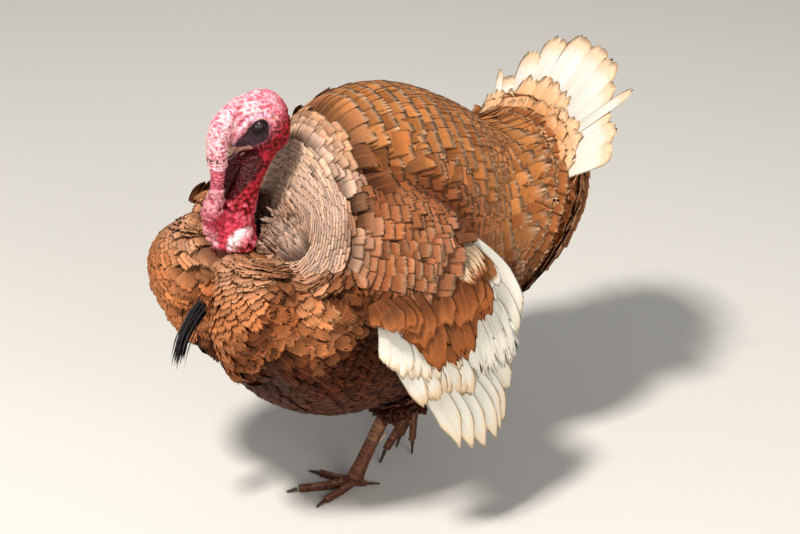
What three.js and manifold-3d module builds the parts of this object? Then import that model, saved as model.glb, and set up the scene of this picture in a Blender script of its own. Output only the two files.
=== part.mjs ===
// A domestic turkey: a heavy red-and-white tom in strut, life size, as one still model in named pieces.
// Millimetres, +Z up. The bird faces -Y, so its left side is +X. It stands on its flat left foot and on
// the toe tips of the trailing right foot; the origin is on the floor, under the middle of its outline.
import * as THREE from "three";
import { mergeVertices } from "three/addons/utils/BufferGeometryUtils.js";
import Module from "manifold-3d";

const wasm = await Module();
wasm.setup();

// ---------------------------------------------------------------- driving dimensions
const GAP = 0.3; // air between pieces that touch
const BLEND = 17; // how softly the masses of the body run into each other
const TAIL_FEATHERS = 14;
const TAIL_LENGTH = 246; // of the middle feather, from the rump to its tip
const TAIL_RAISE = 50; // degrees above the horizontal
const TAIL_SPREAD = 33; // degrees from the middle feather to the outermost one
const PRIMARIES = 8;
const SECONDARIES = 8;
const QUILL_THICKNESS = 3.2; // half the depth of a layer of flight feathers
const EYE_RADIUS = 9;
const SHANK_RADIUS = 8.5;
const TOE_RADIUS = 6.4;
const CLAW = 17;

// ---------------------------------------------------------------- small helpers
const radians = THREE.MathUtils.degToRad;
const mix = THREE.MathUtils.lerp;
const vector = (p) => new THREE.Vector3(...p);
const count = (n) => Array.from({ length: n }, (_, i) => i);

function toSolid(geometry) {
  const bare = new THREE.BufferGeometry();
  bare.setAttribute("position", geometry.getAttribute("position"));
  if (geometry.index) bare.setIndex(geometry.index);
  const merged = mergeVertices(bare, 1e-3);
  return new wasm.Manifold(
    new wasm.Mesh({
      numProp: 3,
      vertProperties: merged.getAttribute("position").array,
      triVerts: new Uint32Array(merged.index.array),
    }),
  );
}

function toGeometry(solid) {
  const mesh = solid.getMesh();
  const places = new Float32Array(mesh.numVert * 3);
  for (let i = 0; i < mesh.numVert; i++)
    for (let k = 0; k < 3; k++) places[3 * i + k] = mesh.vertProperties[mesh.numProp * i + k];
  const geometry = new THREE.BufferGeometry();
  geometry.setAttribute("position", new THREE.BufferAttribute(places, 3));
  geometry.setIndex(new THREE.BufferAttribute(new Uint32Array(mesh.triVerts), 1));
  geometry.computeVertexNormals();
  return geometry;
}

const joined = (solids) => solids.reduce((whole, next) => whole.add(next));
const cutBy = (solid, cutters) => cutters.reduce((left, cutter) => left.subtract(cutter), solid);

// The largest body of a solid: a cut can leave a sliver behind, which is dropped.
function largest(solid) {
  const bodies = solid.decompose();
  return bodies.reduce((best, body) => (body.volume() > best.volume() ? body : best));
}

// ---------------------------------------------------------------- rounded masses
// A mass is an ellipsoid: its centre, its three radii, and a pitch that lifts its +Y end.
const mass = (at, radii, pitch = 0) => ({ at, radii, pitch: radians(pitch) });
const pair = ([x, y, z], radii, pitch = 0) => [
  mass([x, y, z], radii, pitch),
  mass([-x, y, z], radii, pitch),
];

function depthOutside(point, { at, radii, pitch }) {
  const x = point.x - at[0];
  const y = point.y - at[1];
  const z = point.z - at[2];
  const along = y * Math.cos(pitch) + z * Math.sin(pitch);
  const above = z * Math.cos(pitch) - y * Math.sin(pitch);
  const reach = Math.hypot(x / radii[0], along / radii[1], above / radii[2]);
  return (reach - 1) * Math.min(...radii);
}

function blendedDepth(point, masses, blend) {
  const sum = masses.reduce((s, m) => s + Math.exp(-depthOutside(point, m) / blend), 0);
  return -blend * Math.log(sum);
}

// Masses that run softly together, as one closed skin round a centre that sees all of it.
function rounded(centre, masses, { detail, blend = BLEND, grow = 0, reach = 420 }) {
  const geometry = new THREE.IcosahedronGeometry(1, detail);
  const place = geometry.getAttribute("position");
  const from = vector(centre);
  const direction = new THREE.Vector3();
  const point = new THREE.Vector3();
  for (let i = 0; i < place.count; i++) {
    direction.fromBufferAttribute(place, i).normalize();
    let inside = 0;
    let outside = reach;
    for (let step = 0; step < 24; step++) {
      const middle = (inside + outside) / 2;
      point.copy(from).addScaledVector(direction, middle);
      if (blendedDepth(point, masses, blend) > 0) outside = middle;
      else inside = middle;
    }
    point.copy(from).addScaledVector(direction, inside + grow);
    place.setXYZ(i, point.x, point.y, point.z);
  }
  return toSolid(geometry);
}

// ---------------------------------------------------------------- limbs along a curve
// section(t) gives the half width along `side` and the half depth across it.
function limb(points, section, { side = [1, 0, 0], sides = 10, steps = 6, grow = 0 } = {}) {
  const curve = new THREE.CatmullRomCurve3(points.map(vector));
  const geometry = new THREE.CylinderGeometry(1, 1, 1, sides, steps);
  const place = geometry.getAttribute("position");
  for (let i = 0; i < place.count; i++) {
    const t = place.getY(i) + 0.5;
    const [halfWidth, halfDepth] = section(t);
    const tangent = curve.getTangent(t);
    const across = vector(side).addScaledVector(tangent, -vector(side).dot(tangent)).normalize();
    const depth = new THREE.Vector3().crossVectors(across, tangent);
    const past = t > 0.999 ? grow : t < 0.001 ? -grow : 0;
    const point = curve
      .getPoint(t)
      .addScaledVector(across, place.getX(i) * (halfWidth + grow))
      .addScaledVector(depth, place.getZ(i) * (halfDepth + grow))
      .addScaledVector(tangent, past);
    place.setXYZ(i, point.x, point.y, point.z);
  }
  return toSolid(geometry);
}

// How full a rounded limb is at t: full in the middle, drawn in over `ends` of its length.
function fullness(t, ends = 0.2, least = 0.3) {
  const near = Math.min(t, 1 - t) / ends;
  return near >= 1 ? 1 : Math.max(least, Math.sqrt(1 - (1 - near) ** 2));
}

// ---------------------------------------------------------------- layers of flight feathers
// A layer is a row of feathers side by side, each a shallow roof with its own rounded tip. quill(i)
// gives one feather's root and tip and takes fractions too; face is the way the outer side looks.
function layer(feathers, quill, face, { steps = 2, notch = 0.14, crown = 5, sag = 6, grow = 0 } = {}) {
  const columns = 3 * feathers;
  const geometry = new THREE.BoxGeometry(1, 1, 1, columns, steps, 1);
  const place = geometry.getAttribute("position");
  const out = vector(face).normalize();
  for (let i = 0; i < place.count; i++) {
    const across = (place.getX(i) + 0.5) * feathers - 0.5;
    const t = place.getY(i) + 0.5;
    const fromRib = 2 * Math.abs(across - Math.round(Math.min(across, feathers - 0.51)));
    const [root, tip] = quill(across);
    const reach = vector(tip).sub(vector(root));
    const end = 1 - notch * fromRib ** 2.4;
    const lift = sag * 4 * t * (1 - t) + crown * (1 - fromRib) * Math.min(1, 3 * t);
    const side = Math.sign(place.getZ(i));
    const point = vector(root)
      .addScaledVector(reach, t * end + (t > 0.99 ? grow / reach.length() : 0))
      .addScaledVector(out, lift + side * (QUILL_THICKNESS + grow));
    place.setXYZ(i, point.x, point.y, point.z);
  }
  return toSolid(geometry);
}

// ---------------------------------------------------------------- the body
const trunkMasses = [
  mass([0, 22, 318], [172, 194, 164], 18), // the barrel
  mass([0, 60, 440], [124, 120, 126], 6), // the raised back
  mass([0, 150, 420], [112, 112, 96], -24), // its slope down to the tail
  mass([0, -20, 462], [74, 62, 86], 0), // the mantle behind the neck
  ...pair([80, -122, 312], [88, 102, 102], 0), // the two lobes of the breast
  ...pair([122, -6, 400], [72, 104, 86], 0), // scapulars
  mass([0, 0, 215], [110, 140, 74], 0), // belly
];
const rumpMasses = [
  mass([0, 260, 352], [132, 48, 114], -40), // the raised disc of tail coverts
  mass([0, 292, 408], [92, 34, 80], -40), // coverts over the tail's root
  mass([0, 214, 398], [108, 62, 74], -40), // the rise from the back to the tail
  mass([0, 192, 325], [122, 92, 98], 0), // vent and flanks
];
const trunk = (grow = 0) => rounded([0, -10, 340], trunkMasses, { detail: 7, grow });
const rump = (grow = 0) => rounded([0, 232, 356], rumpMasses, { detail: 4, blend: 14, grow });

// ---------------------------------------------------------------- neck and head
const neckPath = [
  [0, -128, 352],
  [0, -152, 405],
  [0, -148, 447],
  [0, -132, 484],
  [0, -108, 522],
  [0, -100, 545],
];
const neckSection = (t) => [mix(30, 23, Math.min(1, 1.6 * t)), mix(32, 24, Math.min(1, 1.6 * t))];
const neck = (grow = 0) => limb(neckPath, neckSection, { sides: 12, steps: 8, grow });

const headMasses = [
  mass([0, -108, 558], [26, 37, 34], 0), // crown
  mass([0, -90, 545], [25, 22, 32], 0), // back of the head
  mass([0, -140, 562], [19, 23, 24], 0), // forehead
  mass([0, -120, 538], [21, 26, 19], 0), // cheeks
];
const head = (grow = 0) =>
  rounded([0, -112, 552], headMasses, { detail: 4, blend: 5, grow, reach: 110 });

const billHalf = ([root, tip], width, depth) =>
  limb(
    [root, [0, mix(root[1], tip[1], 0.55), mix(root[2], tip[2], 0.45)], tip],
    (t) => [mix(width, 2.4, t ** 1.4), mix(depth, 2, t ** 1.6)],
    { sides: 8, steps: 4 },
  );
const billUpper = () => billHalf([[0, -136, 537], [0, -178, 512]], 9.5, 7);
const billLower = () => billHalf([[0, -134, 524], [0, -168, 507]], 7.5, 3.4);

const snoodPath = [
  [0, -150, 574],
  [5, -172, 560],
  [11, -184, 540],
  [13, -186, 513],
  [13, -187, 488],
  [11, -191, 462],
];
const snoodSection = (t) => {
  const full = fullness(t, 0.14, 0.6);
  return [mix(14, 9, t) * full, mix(13, 8.5, t) * full];
};
const snood = () => limb(snoodPath, snoodSection, { sides: 8, steps: 8 });

const dewlap = () =>
  limb(
    [
      [0, -146, 528],
      [0, -152, 506],
      [0, -164, 484],
      [0, -172, 464],
    ],
    (t) => [mix(7.5, 5, t), mix(22, 7, t ** 1.2) * fullness(t, 0.2, 0.7)],
    { sides: 8, steps: 5 },
  );

// Each lump of the wattle at the foot of the neck: where it is and its radius.
const carunclePlaces = [
  { at: [8, -186, 415], size: 17 },
  { at: [-16, -183, 416], size: 15 },
  { at: [29, -168, 411], size: 17 },
  { at: [-32, -165, 420], size: 13 },
  { at: [4, -182, 440], size: 14 },
];
const caruncles = () =>
  joined(
    carunclePlaces.map(({ at, size }) => {
      const ball = new THREE.IcosahedronGeometry(size, 1);
      ball.translate(...at);
      return toSolid(ball);
    }),
  );

const eye = (sideSign, grow = 0) => {
  const ball = new THREE.SphereGeometry(EYE_RADIUS + grow, 10, 7);
  ball.translate(sideSign * 19, -126, 562);
  return toSolid(ball);
};

const beard = () =>
  limb(
    [
      [0, -190, 350],
      [3, -224, 334],
      [5, -250, 305],
      [4, -258, 262],
    ],
    (t) => [mix(11, 4, t ** 2), mix(8, 3.5, t ** 2)],
    { sides: 8, steps: 6 },
  );

// ---------------------------------------------------------------- tail
const tailFace = [0, -Math.sin(radians(TAIL_RAISE)), Math.cos(radians(TAIL_RAISE))];
function tailQuill(across) {
  const share = (2 * across) / (TAIL_FEATHERS - 1) - 1;
  const turn = radians(share * TAIL_SPREAD);
  const raise = radians(TAIL_RAISE);
  const length = TAIL_LENGTH * (1 - 0.1 * share * share);
  const root = [share * 24, 238, 366];
  const tip = [
    root[0] + length * Math.sin(turn),
    root[1] + length * Math.cos(turn) * Math.cos(raise),
    root[2] + length * Math.cos(turn) * Math.sin(raise),
  ];
  return [root, tip];
}
const tail = () => layer(TAIL_FEATHERS, tailQuill, tailFace, { notch: 0.1, sag: 8 });

// ---------------------------------------------------------------- wings
// The folded wing hangs beside the trunk: the arm's feathered mass, the secondaries behind it and the
// primaries that drop towards the floor. `hang` moves a drawn wing to its side and its droop.
const SHOULDER = new THREE.Vector3(165, -50, 415);
function wing(sideSign, { spread = 0, forward = 0, lift = 0 }) {
  const turn = new THREE.Matrix4()
    .makeTranslation(SHOULDER.x, SHOULDER.y, SHOULDER.z + lift)
    .multiply(new THREE.Matrix4().makeRotationY(radians(-spread)))
    .multiply(new THREE.Matrix4().makeRotationX(radians(-forward)))
    .multiply(new THREE.Matrix4().makeTranslation(-SHOULDER.x, -SHOULDER.y, -SHOULDER.z));
  const hang = (p) => {
    const moved = vector(p).applyMatrix4(turn);
    return [sideSign * moved.x, moved.y, moved.z];
  };
  const faceTurned = vector([1, 0, 0.08]).transformDirection(turn);
  const face = [sideSign * faceTurned.x, faceTurned.y, faceTurned.z];
  const armPath = [
    hang([168, 96, 432]),
    hang([192, 34, 402]),
    hang([206, -28, 368]),
    hang([212, -84, 342]),
  ];
  const armSection = (t) => [30 * fullness(t, 0.4, 0.4), mix(86, 40, t) * fullness(t, 0.35, 0.45)];
  const arm = (grow = 0) => limb(armPath, armSection, { side: face, sides: 10, steps: 6, grow });
  const orient = (quill) => (across) => quill(across).map(hang);
  const primaryQuill = orient((across) => {
    const t = across / (PRIMARIES - 1);
    const droop = 26 * Math.sin(Math.PI * Math.min(1, Math.max(0, t)));
    return [
      [mix(220, 216, t), mix(-92, -34, t), mix(346, 322, t)],
      [mix(208, 200, t), mix(22, 132, t), mix(152, 150, t) - droop],
    ];
  });
  const secondaryQuill = orient((across) => {
    const t = across / (SECONDARIES - 1);
    const bulge = Math.sin(Math.PI * Math.min(1, Math.max(0, t)));
    return [
      [mix(212, 184, t), mix(-20, 74, t), mix(330, 440, t)],
      [mix(200, 186, t), mix(132, 140, t) + 8 * bulge, mix(178, 352, t)],
    ];
  });
  // The left wing's feathers run back to front, so that each layer's outer side faces outwards.
  const sorted = (feathers, quill) => (sideSign < 0 ? quill : (across) => quill(feathers - 1 - across));
  const primaries = (grow = 0) =>
    layer(PRIMARIES, sorted(PRIMARIES, primaryQuill), face, { notch: 0.24, grow });
  const secondaries = () =>
    layer(SECONDARIES, sorted(SECONDARIES, secondaryQuill), face, { notch: 0.16 });
  return { arm, primaries, secondaries };
}

// ---------------------------------------------------------------- legs and feet
const LEFT_LEG = { sideSign: 1, hock: [44, 60, 150], heel: [20, 5, 14], turn: 24 };
const RIGHT_LEG = { sideSign: -1, hock: [-50, 152, 184], heel: [-14, 128, 74], turn: 6 };

const thigh = ({ hock, sideSign }, grow = 0) =>
  limb(
    [
      [sideSign * 86, 30, 260],
      [sideSign * mix(80, 44, 0.5), mix(34, hock[1], 0.5), mix(200, hock[2], 0.5)],
      [hock[0], hock[1] - 8, hock[2] - 28],
    ],
    (t) => [mix(60, 24, t ** 1.4), mix(66, 28, t ** 1.4)],
    { sides: 12, steps: 6, grow },
  );

const shank = ({ heel, hock }, grow = 0) =>
  limb(
    [hock, hock.map((at, k) => mix(at, heel[k], 0.5)), heel],
    (t) => {
      const knobs = 1 + 0.3 * (2 * t - 1) ** 4;
      return [SHANK_RADIUS * knobs, SHANK_RADIUS * 1.15 * knobs];
    },
    { sides: 10, steps: 6, grow },
  );

const spur = ({ heel, hock }) => {
  const [x, y, z] = hock.map((at, k) => mix(at, heel[k], 0.6));
  return limb(
    [
      [x, y + 4, z - 2],
      [x, y + 14, z],
      [x, y + 22, z + 4],
    ],
    (t) => [mix(4.6, 1.6, t), mix(4.6, 1.6, t)],
    { sides: 6, steps: 2 },
  );
};

// Each toe: its turn from straight ahead in degrees, its length and its thickness.
const TOES = {
  inner: { turn: -38, length: 72, thick: 0.92 },
  middle: { turn: 0, length: 94, thick: 1 },
  outer: { turn: 36, length: 74, thick: 0.92 },
  hind: { turn: 172, length: 34, thick: 0.75 },
};

const floorBlock = toSolid(new THREE.BoxGeometry(2000, 2000, 100).translate(0, 0, -50));

// A foot's toes run out from the heel. On the flat foot they lie on the floor; on the trailing foot
// the heel is up, the front toes reach down to the floor and the hind toe hangs.
function foot({ sideSign, heel, turn }, raised) {
  const toes = [];
  const claws = {};
  for (const [name, toe] of Object.entries(TOES)) {
    const radius = TOE_RADIUS * toe.thick;
    const angle = radians(turn * -sideSign + toe.turn * sideSign);
    const ahead = [Math.sin(angle), -Math.cos(angle)];
    const hanging = raised && name === "hind";
    const low = hanging ? heel[2] - 20 : radius - 1.4;
    const drop = heel[2] - low;
    const flat = raised ? Math.sqrt(Math.max(toe.length ** 2 - drop ** 2, 100)) : toe.length;
    const at = (share, height) => [
      heel[0] + ahead[0] * flat * share,
      heel[1] + ahead[1] * flat * share,
      height,
    ];
    const knuckle = 1 - CLAW / toe.length;
    const bow = raised && !hanging ? 6 : 0;
    const heights = raised
      ? [heel[2], mix(heel[2], low, 0.5) + bow, mix(heel[2], low, knuckle)]
      : [radius + 3, low, low];
    const path = [at(0, heights[0]), at(0.5 * knuckle, heights[1]), at(knuckle, heights[2])];
    toes.push(
      limb(path, (t) => [radius * (1.1 - 0.25 * t), radius * (1.15 - 0.2 * t)], {
        sides: 6,
        steps: 2,
        side: [ahead[1], -ahead[0], 0],
      }),
    );
    const clawEnd = raised ? (hanging ? low - 6 : -0.8) : 2.4;
    const clawPath = [
      at(knuckle + 0.02, heights[2]),
      at(mix(knuckle, 1, 0.5), mix(heights[2], clawEnd, 0.4)),
      at(1, clawEnd),
    ];
    claws[name] = limb(clawPath, (t) => [mix(0.55 * radius, 1.4, t), mix(0.6 * radius, 1.4, t)], {
      sides: 6,
      steps: 2,
      side: [ahead[1], -ahead[0], 0],
    });
  }
  return { toes, claws };
}

// ---------------------------------------------------------------- putting the bird together
const COLOURS = {
  red: { color: 0xa4552a, roughness: 0.8 },
  pale: { color: 0xf1ead9, roughness: 0.7 },
  flesh: { color: 0xc8324a, roughness: 0.5 },
  wattle: { color: 0xe8b7bd, roughness: 0.45 },
  horn: { color: 0xb59a80, roughness: 0.4 },
  dark: { color: 0x1a1614, roughness: 0.35 },
  leg: { color: 0xb0705c, roughness: 0.6 },
};

const bird = new THREE.Group();
const cutters = [];

// Pieces go in order: each one gives way to the pieces named before it, less the gap between them.
function place(name, piece, finish) {
  const solid = largest(cutBy(piece(0), cutters));
  const material = new THREE.MeshStandardMaterial({ ...COLOURS[finish], metalness: 0 });
  const mesh = new THREE.Mesh(toGeometry(solid), material);
  mesh.name = name;
  bird.add(mesh);
  cutters.push(piece(GAP));
}

const sides = { left: LEFT_LEG, right: RIGHT_LEG };
const wings = {
  left: wing(1, {}),
  right: wing(-1, {}),
};

for (const [side, { sideSign }] of Object.entries(sides))
  place(`eye_${side}`, (grow) => eye(sideSign, grow), "dark");
place("head", head, "flesh");
place("neck", neck, "flesh");
place("trunk", trunk, "red");
place("rump", rump, "red");
place("snood", snood, "flesh");
place("bill_upper", billUpper, "horn");
place("bill_lower", billLower, "horn");
place("caruncles", caruncles, "wattle");
place("dewlap", dewlap, "flesh");
place("beard", beard, "dark");
place("tail", tail, "pale");
for (const [side, leg] of Object.entries(sides)) {
  const { toes, claws } = foot(leg, side === "right");
  place(`thigh_${side}`, (grow) => thigh(leg, grow), "red");
  place(`shank_${side}`, (grow) => shank(leg, grow), "leg");
  place(`spur_${side}`, () => spur(leg), "horn");
  place(`foot_${side}`, () => cutBy(joined(toes), [floorBlock]), "leg");
  for (const [toe, claw] of Object.entries(claws))
    place(`claw_${side}_${toe}`, () => cutBy(claw, [floorBlock]), "dark");
}
for (const [side, { arm, primaries, secondaries }] of Object.entries(wings)) {
  place(`wing_${side}_arm`, arm, "red");
  place(`wing_${side}_primaries`, primaries, "pale");
  place(`wing_${side}_secondaries`, secondaries, "pale");
}

// The origin is on the floor, under the middle of the outline.
const middle = new THREE.Box3().setFromObject(bird).getCenter(new THREE.Vector3());
bird.position.set(-middle.x, -middle.y, 0);
const turkey = new THREE.Group();
turkey.add(bird);

export default turkey;
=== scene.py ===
# %% [markdown]
# # A turkey tom in strut
# This lesson dresses a plain solid model of a heavy red turkey. The solids come first, as a fixed
# frame: they say how big each part is and where it goes, and nothing here moves or resizes them.
# On top of them go one skin, then the feathers, the beard, the scutes, the claws, the bill and eyes.

# %% Load the frame
import math

import bpy
import numpy as np
from mathutils import Matrix, Vector
from mathutils.bvhtree import BVHTree


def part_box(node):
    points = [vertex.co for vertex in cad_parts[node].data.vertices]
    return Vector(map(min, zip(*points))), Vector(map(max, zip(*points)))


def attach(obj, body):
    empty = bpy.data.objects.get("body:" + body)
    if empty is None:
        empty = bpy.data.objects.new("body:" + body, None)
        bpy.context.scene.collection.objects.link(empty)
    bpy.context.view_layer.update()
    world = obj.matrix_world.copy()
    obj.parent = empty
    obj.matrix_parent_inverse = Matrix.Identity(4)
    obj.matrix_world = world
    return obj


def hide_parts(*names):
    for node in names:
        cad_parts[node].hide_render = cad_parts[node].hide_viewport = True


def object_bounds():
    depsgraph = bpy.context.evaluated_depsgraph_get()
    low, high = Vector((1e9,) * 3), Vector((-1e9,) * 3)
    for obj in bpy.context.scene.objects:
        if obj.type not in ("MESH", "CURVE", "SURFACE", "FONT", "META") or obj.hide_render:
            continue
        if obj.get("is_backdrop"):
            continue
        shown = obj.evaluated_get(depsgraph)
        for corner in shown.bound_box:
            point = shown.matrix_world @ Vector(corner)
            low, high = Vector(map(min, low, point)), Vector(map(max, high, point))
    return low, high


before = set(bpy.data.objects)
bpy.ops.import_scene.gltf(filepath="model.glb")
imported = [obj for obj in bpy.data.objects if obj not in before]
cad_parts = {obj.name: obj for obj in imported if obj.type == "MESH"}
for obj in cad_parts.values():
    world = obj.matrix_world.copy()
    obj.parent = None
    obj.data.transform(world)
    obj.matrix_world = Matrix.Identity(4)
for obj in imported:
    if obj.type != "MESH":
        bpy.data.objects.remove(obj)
cad_box = [[float(v) for v in corner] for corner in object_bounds()]
bpy.ops.object.select_all(action="DESELECT")
MM = 0.001
rng = np.random.default_rng(11)


def mm(*values):
    """A place or a step that is given in millimetres."""
    return np.array(values) * MM


print("solid model, low and high corner in metres:", cad_box)

# %% [markdown]
# Everything is placed from the boxes of the solid's own parts. Working from anchors like these keeps
# the dressing on the body if a part is ever changed.

# %% Anchors


def low(node):
    return np.array(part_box(node)[0])


def high(node):
    return np.array(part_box(node)[1])


def middle(node):
    return (low(node) + high(node)) / 2


TRUNK = middle("trunk")
RUMP = middle("rump")
NECK = middle("neck")
HEAD = middle("head")
EYE = middle("eye_left")
BODY = TRUNK + mm(0, -28, -10)
print("body centre", BODY.round(3), "neck", NECK.round(3), "head", HEAD.round(3), "rump", RUMP.round(3))

# %% [markdown]
# ## Camera, floor and light
# The bird is seen from its left front and a little above, about 2.4 metres away. One big
# soft lamp stands high in front of it, as the sun would, and a pale sky fills in the shadows.

# %% Camera


def look(back, up, place):
    right = Vector(up).cross(Vector(back)).normalized()
    turned = Matrix((right, Vector(back).cross(right).normalized(), Vector(back))).transposed().to_4x4()
    return Matrix.Translation(Vector(place)) @ turned


AIM = TRUNK + mm(20.2, 61.3, -39.0)
BACK = np.array([0.72986982, -0.51106035, 0.4539905])
DISTANCE = 2.3989
lens = bpy.data.cameras.new("camera")
lens.lens = 83
lens.sensor_width = 36
camera = bpy.data.objects.new("camera", lens)
camera.matrix_world = look(BACK, (0, 0, 1), AIM + BACK * DISTANCE)
bpy.context.scene.collection.objects.link(camera)
bpy.context.scene.camera = camera
print("camera at", [round(v, 3) for v in camera.matrix_world.translation])

# %% Floor and lights
bpy.ops.mesh.primitive_plane_add(size=16, location=(0, 0, 0))
floor = bpy.context.active_object
floor.name = "floor"
floor_paint = bpy.data.materials.new("pale_floor")
floor_paint.use_nodes = True
floor_shader = floor_paint.node_tree.nodes["Principled BSDF"]
floor_shader.inputs["Base Color"].default_value = (0.74, 0.71, 0.65, 1)
floor_shader.inputs["Roughness"].default_value = 0.85
floor.data.materials.append(floor_paint)
floor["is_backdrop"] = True


def lengths(rows):
    return np.linalg.norm(rows, axis=1)


def unit(v):
    return v / np.maximum(np.linalg.norm(v, axis=-1, keepdims=True), 1e-9)


def lamp(name, toward, distance, size, power, colour):
    light = bpy.data.lights.new(name, "AREA")
    light.size = size
    light.energy = power
    light.color = colour
    toward = unit(np.array(toward))
    thing = bpy.data.objects.new(name, light)
    thing.matrix_world = look(toward, (0, 1, 0.01), TRUNK + toward * distance)
    bpy.context.scene.collection.objects.link(thing)


lamp("key", (0.20, -0.46, 0.87), 4.0, 0.5, 196, (1.0, 0.97, 0.92))
lamp("side_fill", (0.95, -0.1, 0.35), 4.0, 2.0, 62, (1.0, 0.98, 0.95))
sky = bpy.data.worlds.new("sky")
sky.use_nodes = True
sky.node_tree.nodes["Background"].inputs["Color"].default_value = (0.93, 0.95, 1.0, 1)
sky.node_tree.nodes["Background"].inputs["Strength"].default_value = 0.30
bpy.context.scene.world = sky
bpy.context.scene.view_settings.view_transform = "Standard"
print("one key lamp, one fill and a sky")

# %% [markdown]
# ## Tools for meshes
# A real bird wears thousands of feathers. Adding them one by one with operators would take hours, so
# each kind is worked out for all its feathers at once in arrays, and becomes one joined mesh.

# %% From arrays to an object


def quads_object(name, verts, quads, material=None):
    mesh = bpy.data.meshes.new(name)
    mesh.vertices.add(len(verts))
    mesh.vertices.foreach_set("co", np.asarray(verts, np.float32).ravel())
    mesh.loops.add(quads.size)
    mesh.loops.foreach_set("vertex_index", quads.astype(np.int32).ravel())
    mesh.polygons.add(len(quads))
    mesh.polygons.foreach_set("loop_start", np.arange(0, quads.size, quads.shape[1], dtype=np.int32))
    mesh.polygons.foreach_set("use_smooth", np.ones(len(quads), bool))
    mesh.update(calc_edges=True)
    mesh.validate()
    piece = bpy.data.objects.new(name, mesh)
    bpy.context.scene.collection.objects.link(piece)
    if material:
        mesh.materials.append(material)
    return piece


def points_of(piece):
    flat = np.empty(len(piece.data.vertices) * 3, np.float32)
    piece.data.vertices.foreach_get("co", flat)
    return flat.reshape(-1, 3).astype(float)


def move_points(piece, points):
    piece.data.vertices.foreach_set("co", points.astype(np.float32).ravel())
    piece.data.update()


def normals_of(piece):
    flat = np.empty(len(piece.data.vertices) * 3, np.float32)
    piece.data.vertex_normals.foreach_get("vector", flat)
    return flat.reshape(-1, 3).astype(float)


def add_tint(piece, colours, name="tint"):
    """A colour for each vertex, which a material reads by its name."""
    layer = piece.data.color_attributes.new(name, "FLOAT_COLOR", "POINT")
    rgba = np.ones((len(piece.data.vertices), 4), np.float32)
    rgba[:, :3] = np.clip(colours, 0, 1)
    layer.data.foreach_set("color", rgba.ravel())


def colour(red, green, blue):
    """An ordinary 0 to 255 colour as the linear one that a shader works in."""
    c = np.array([red, green, blue]) / 255
    return np.where(c < 0.04045, c / 12.92, ((c + 0.055) / 1.055) ** 2.4)


def smooth(low_edge, high_edge, value):
    t = np.clip((value - low_edge) / (high_edge - low_edge), 0, 1)
    return t * t * (3 - 2 * t)


def bell(gap, wide):
    """1 where the gap is 0, falling away over the width."""
    return np.exp(-((gap / wide) ** 2))


def mix(a, b, share):
    share = np.asarray(share)[..., None]
    return a * (1 - share) + b * share


def mirrored(point, side):
    """A point of the left side as it is, or on the right side where side is -1."""
    return np.array([side * point[0], point[1], point[2]])


def on_left(points):
    """Points with those of the right side mirrored to the left, where the shapes are written down."""
    return np.abs(points * [1, 0, 0]) + points * [0, 1, 1]


def repeated(faces, copies, points_each):
    """The faces of one shape, numbered for many copies of it."""
    return (faces[None] + (np.arange(copies) * points_each)[:, None, None]).reshape(-1, faces.shape[1])


def stacked(parts):
    """Several lots of points and faces as one, the faces numbered on."""
    starts = np.cumsum([0] + [len(points) for points, _ in parts[:-1]])
    faces = [each + start for (_, each), start in zip(parts, starts)]
    return np.concatenate([points for points, _ in parts]), np.concatenate(faces)


# %% Small bench tools


def select_only(*pieces):
    bpy.ops.object.select_all(action="DESELECT")
    for piece in pieces:
        piece.select_set(True)
    bpy.context.view_layer.objects.active = pieces[0]


def apply_modifier(piece, kind, **settings):
    select_only(piece)
    modifier = piece.modifiers.new(kind.lower(), kind)
    for key, value in settings.items():
        setattr(modifier, key, value)
    bpy.ops.object.modifier_apply(modifier=modifier.name)


def joined(name, pieces):
    select_only(*pieces)
    if len(pieces) > 1:
        bpy.ops.object.join()
    piece = bpy.context.view_layer.objects.active
    piece.name = name
    return piece


def edit_all(piece, operator, **settings):
    """One mesh operator, run on the whole of a piece."""
    select_only(piece)
    bpy.ops.object.mode_set(mode="EDIT")
    bpy.ops.mesh.select_all(action="SELECT")
    operator(**settings)
    bpy.ops.object.mode_set(mode="OBJECT")


def copy_of(name, *nodes):
    """Copies of the solid's nodes as one new object, its doubled points merged."""
    copies = []
    for node in nodes:
        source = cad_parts[node]
        piece = bpy.data.objects.new(name, source.data.copy())
        piece.data.transform(source.matrix_world)
        piece.data.materials.clear()
        bpy.context.scene.collection.objects.link(piece)
        copies.append(piece)
    piece = joined(name, copies)
    edit_all(piece, bpy.ops.mesh.remove_doubles, threshold=1e-5)
    return piece


def remesh(piece, voxel, rounds=0):
    apply_modifier(piece, "REMESH", mode="VOXEL", voxel_size=voxel, use_smooth_shade=True)
    if rounds:
        apply_modifier(piece, "SMOOTH", factor=0.5, iterations=rounds)


def tree_of(piece):
    mesh = piece.data
    return BVHTree.FromPolygons([v.co[:] for v in mesh.vertices], [p.vertices[:] for p in mesh.polygons])


PROBES = [Vector(way).normalized() for way in ((1, 0.2, 0.1), (-0.6, 0.7, 0.4), (-0.3, -0.6, 0.8))]


def depth_in(tree, points):
    """How deep each point lies under a closed surface: positive inside, negative outside. A point is
    inside where most of three rays from it meet the surface from within."""
    deep = np.empty(len(points))
    for k, point in enumerate(points):
        point = Vector(point)
        votes = 0
        for way in PROBES:
            normal = tree.ray_cast(point, way)[1]
            votes += 1 if normal and normal.dot(way) > 0 else 0
        distance = tree.find_nearest(point)[3]
        deep[k] = distance if votes > 1 else -distance
    return deep


def delete(*pieces):
    for piece in pieces:
        bpy.data.objects.remove(piece, do_unlink=True)


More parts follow.
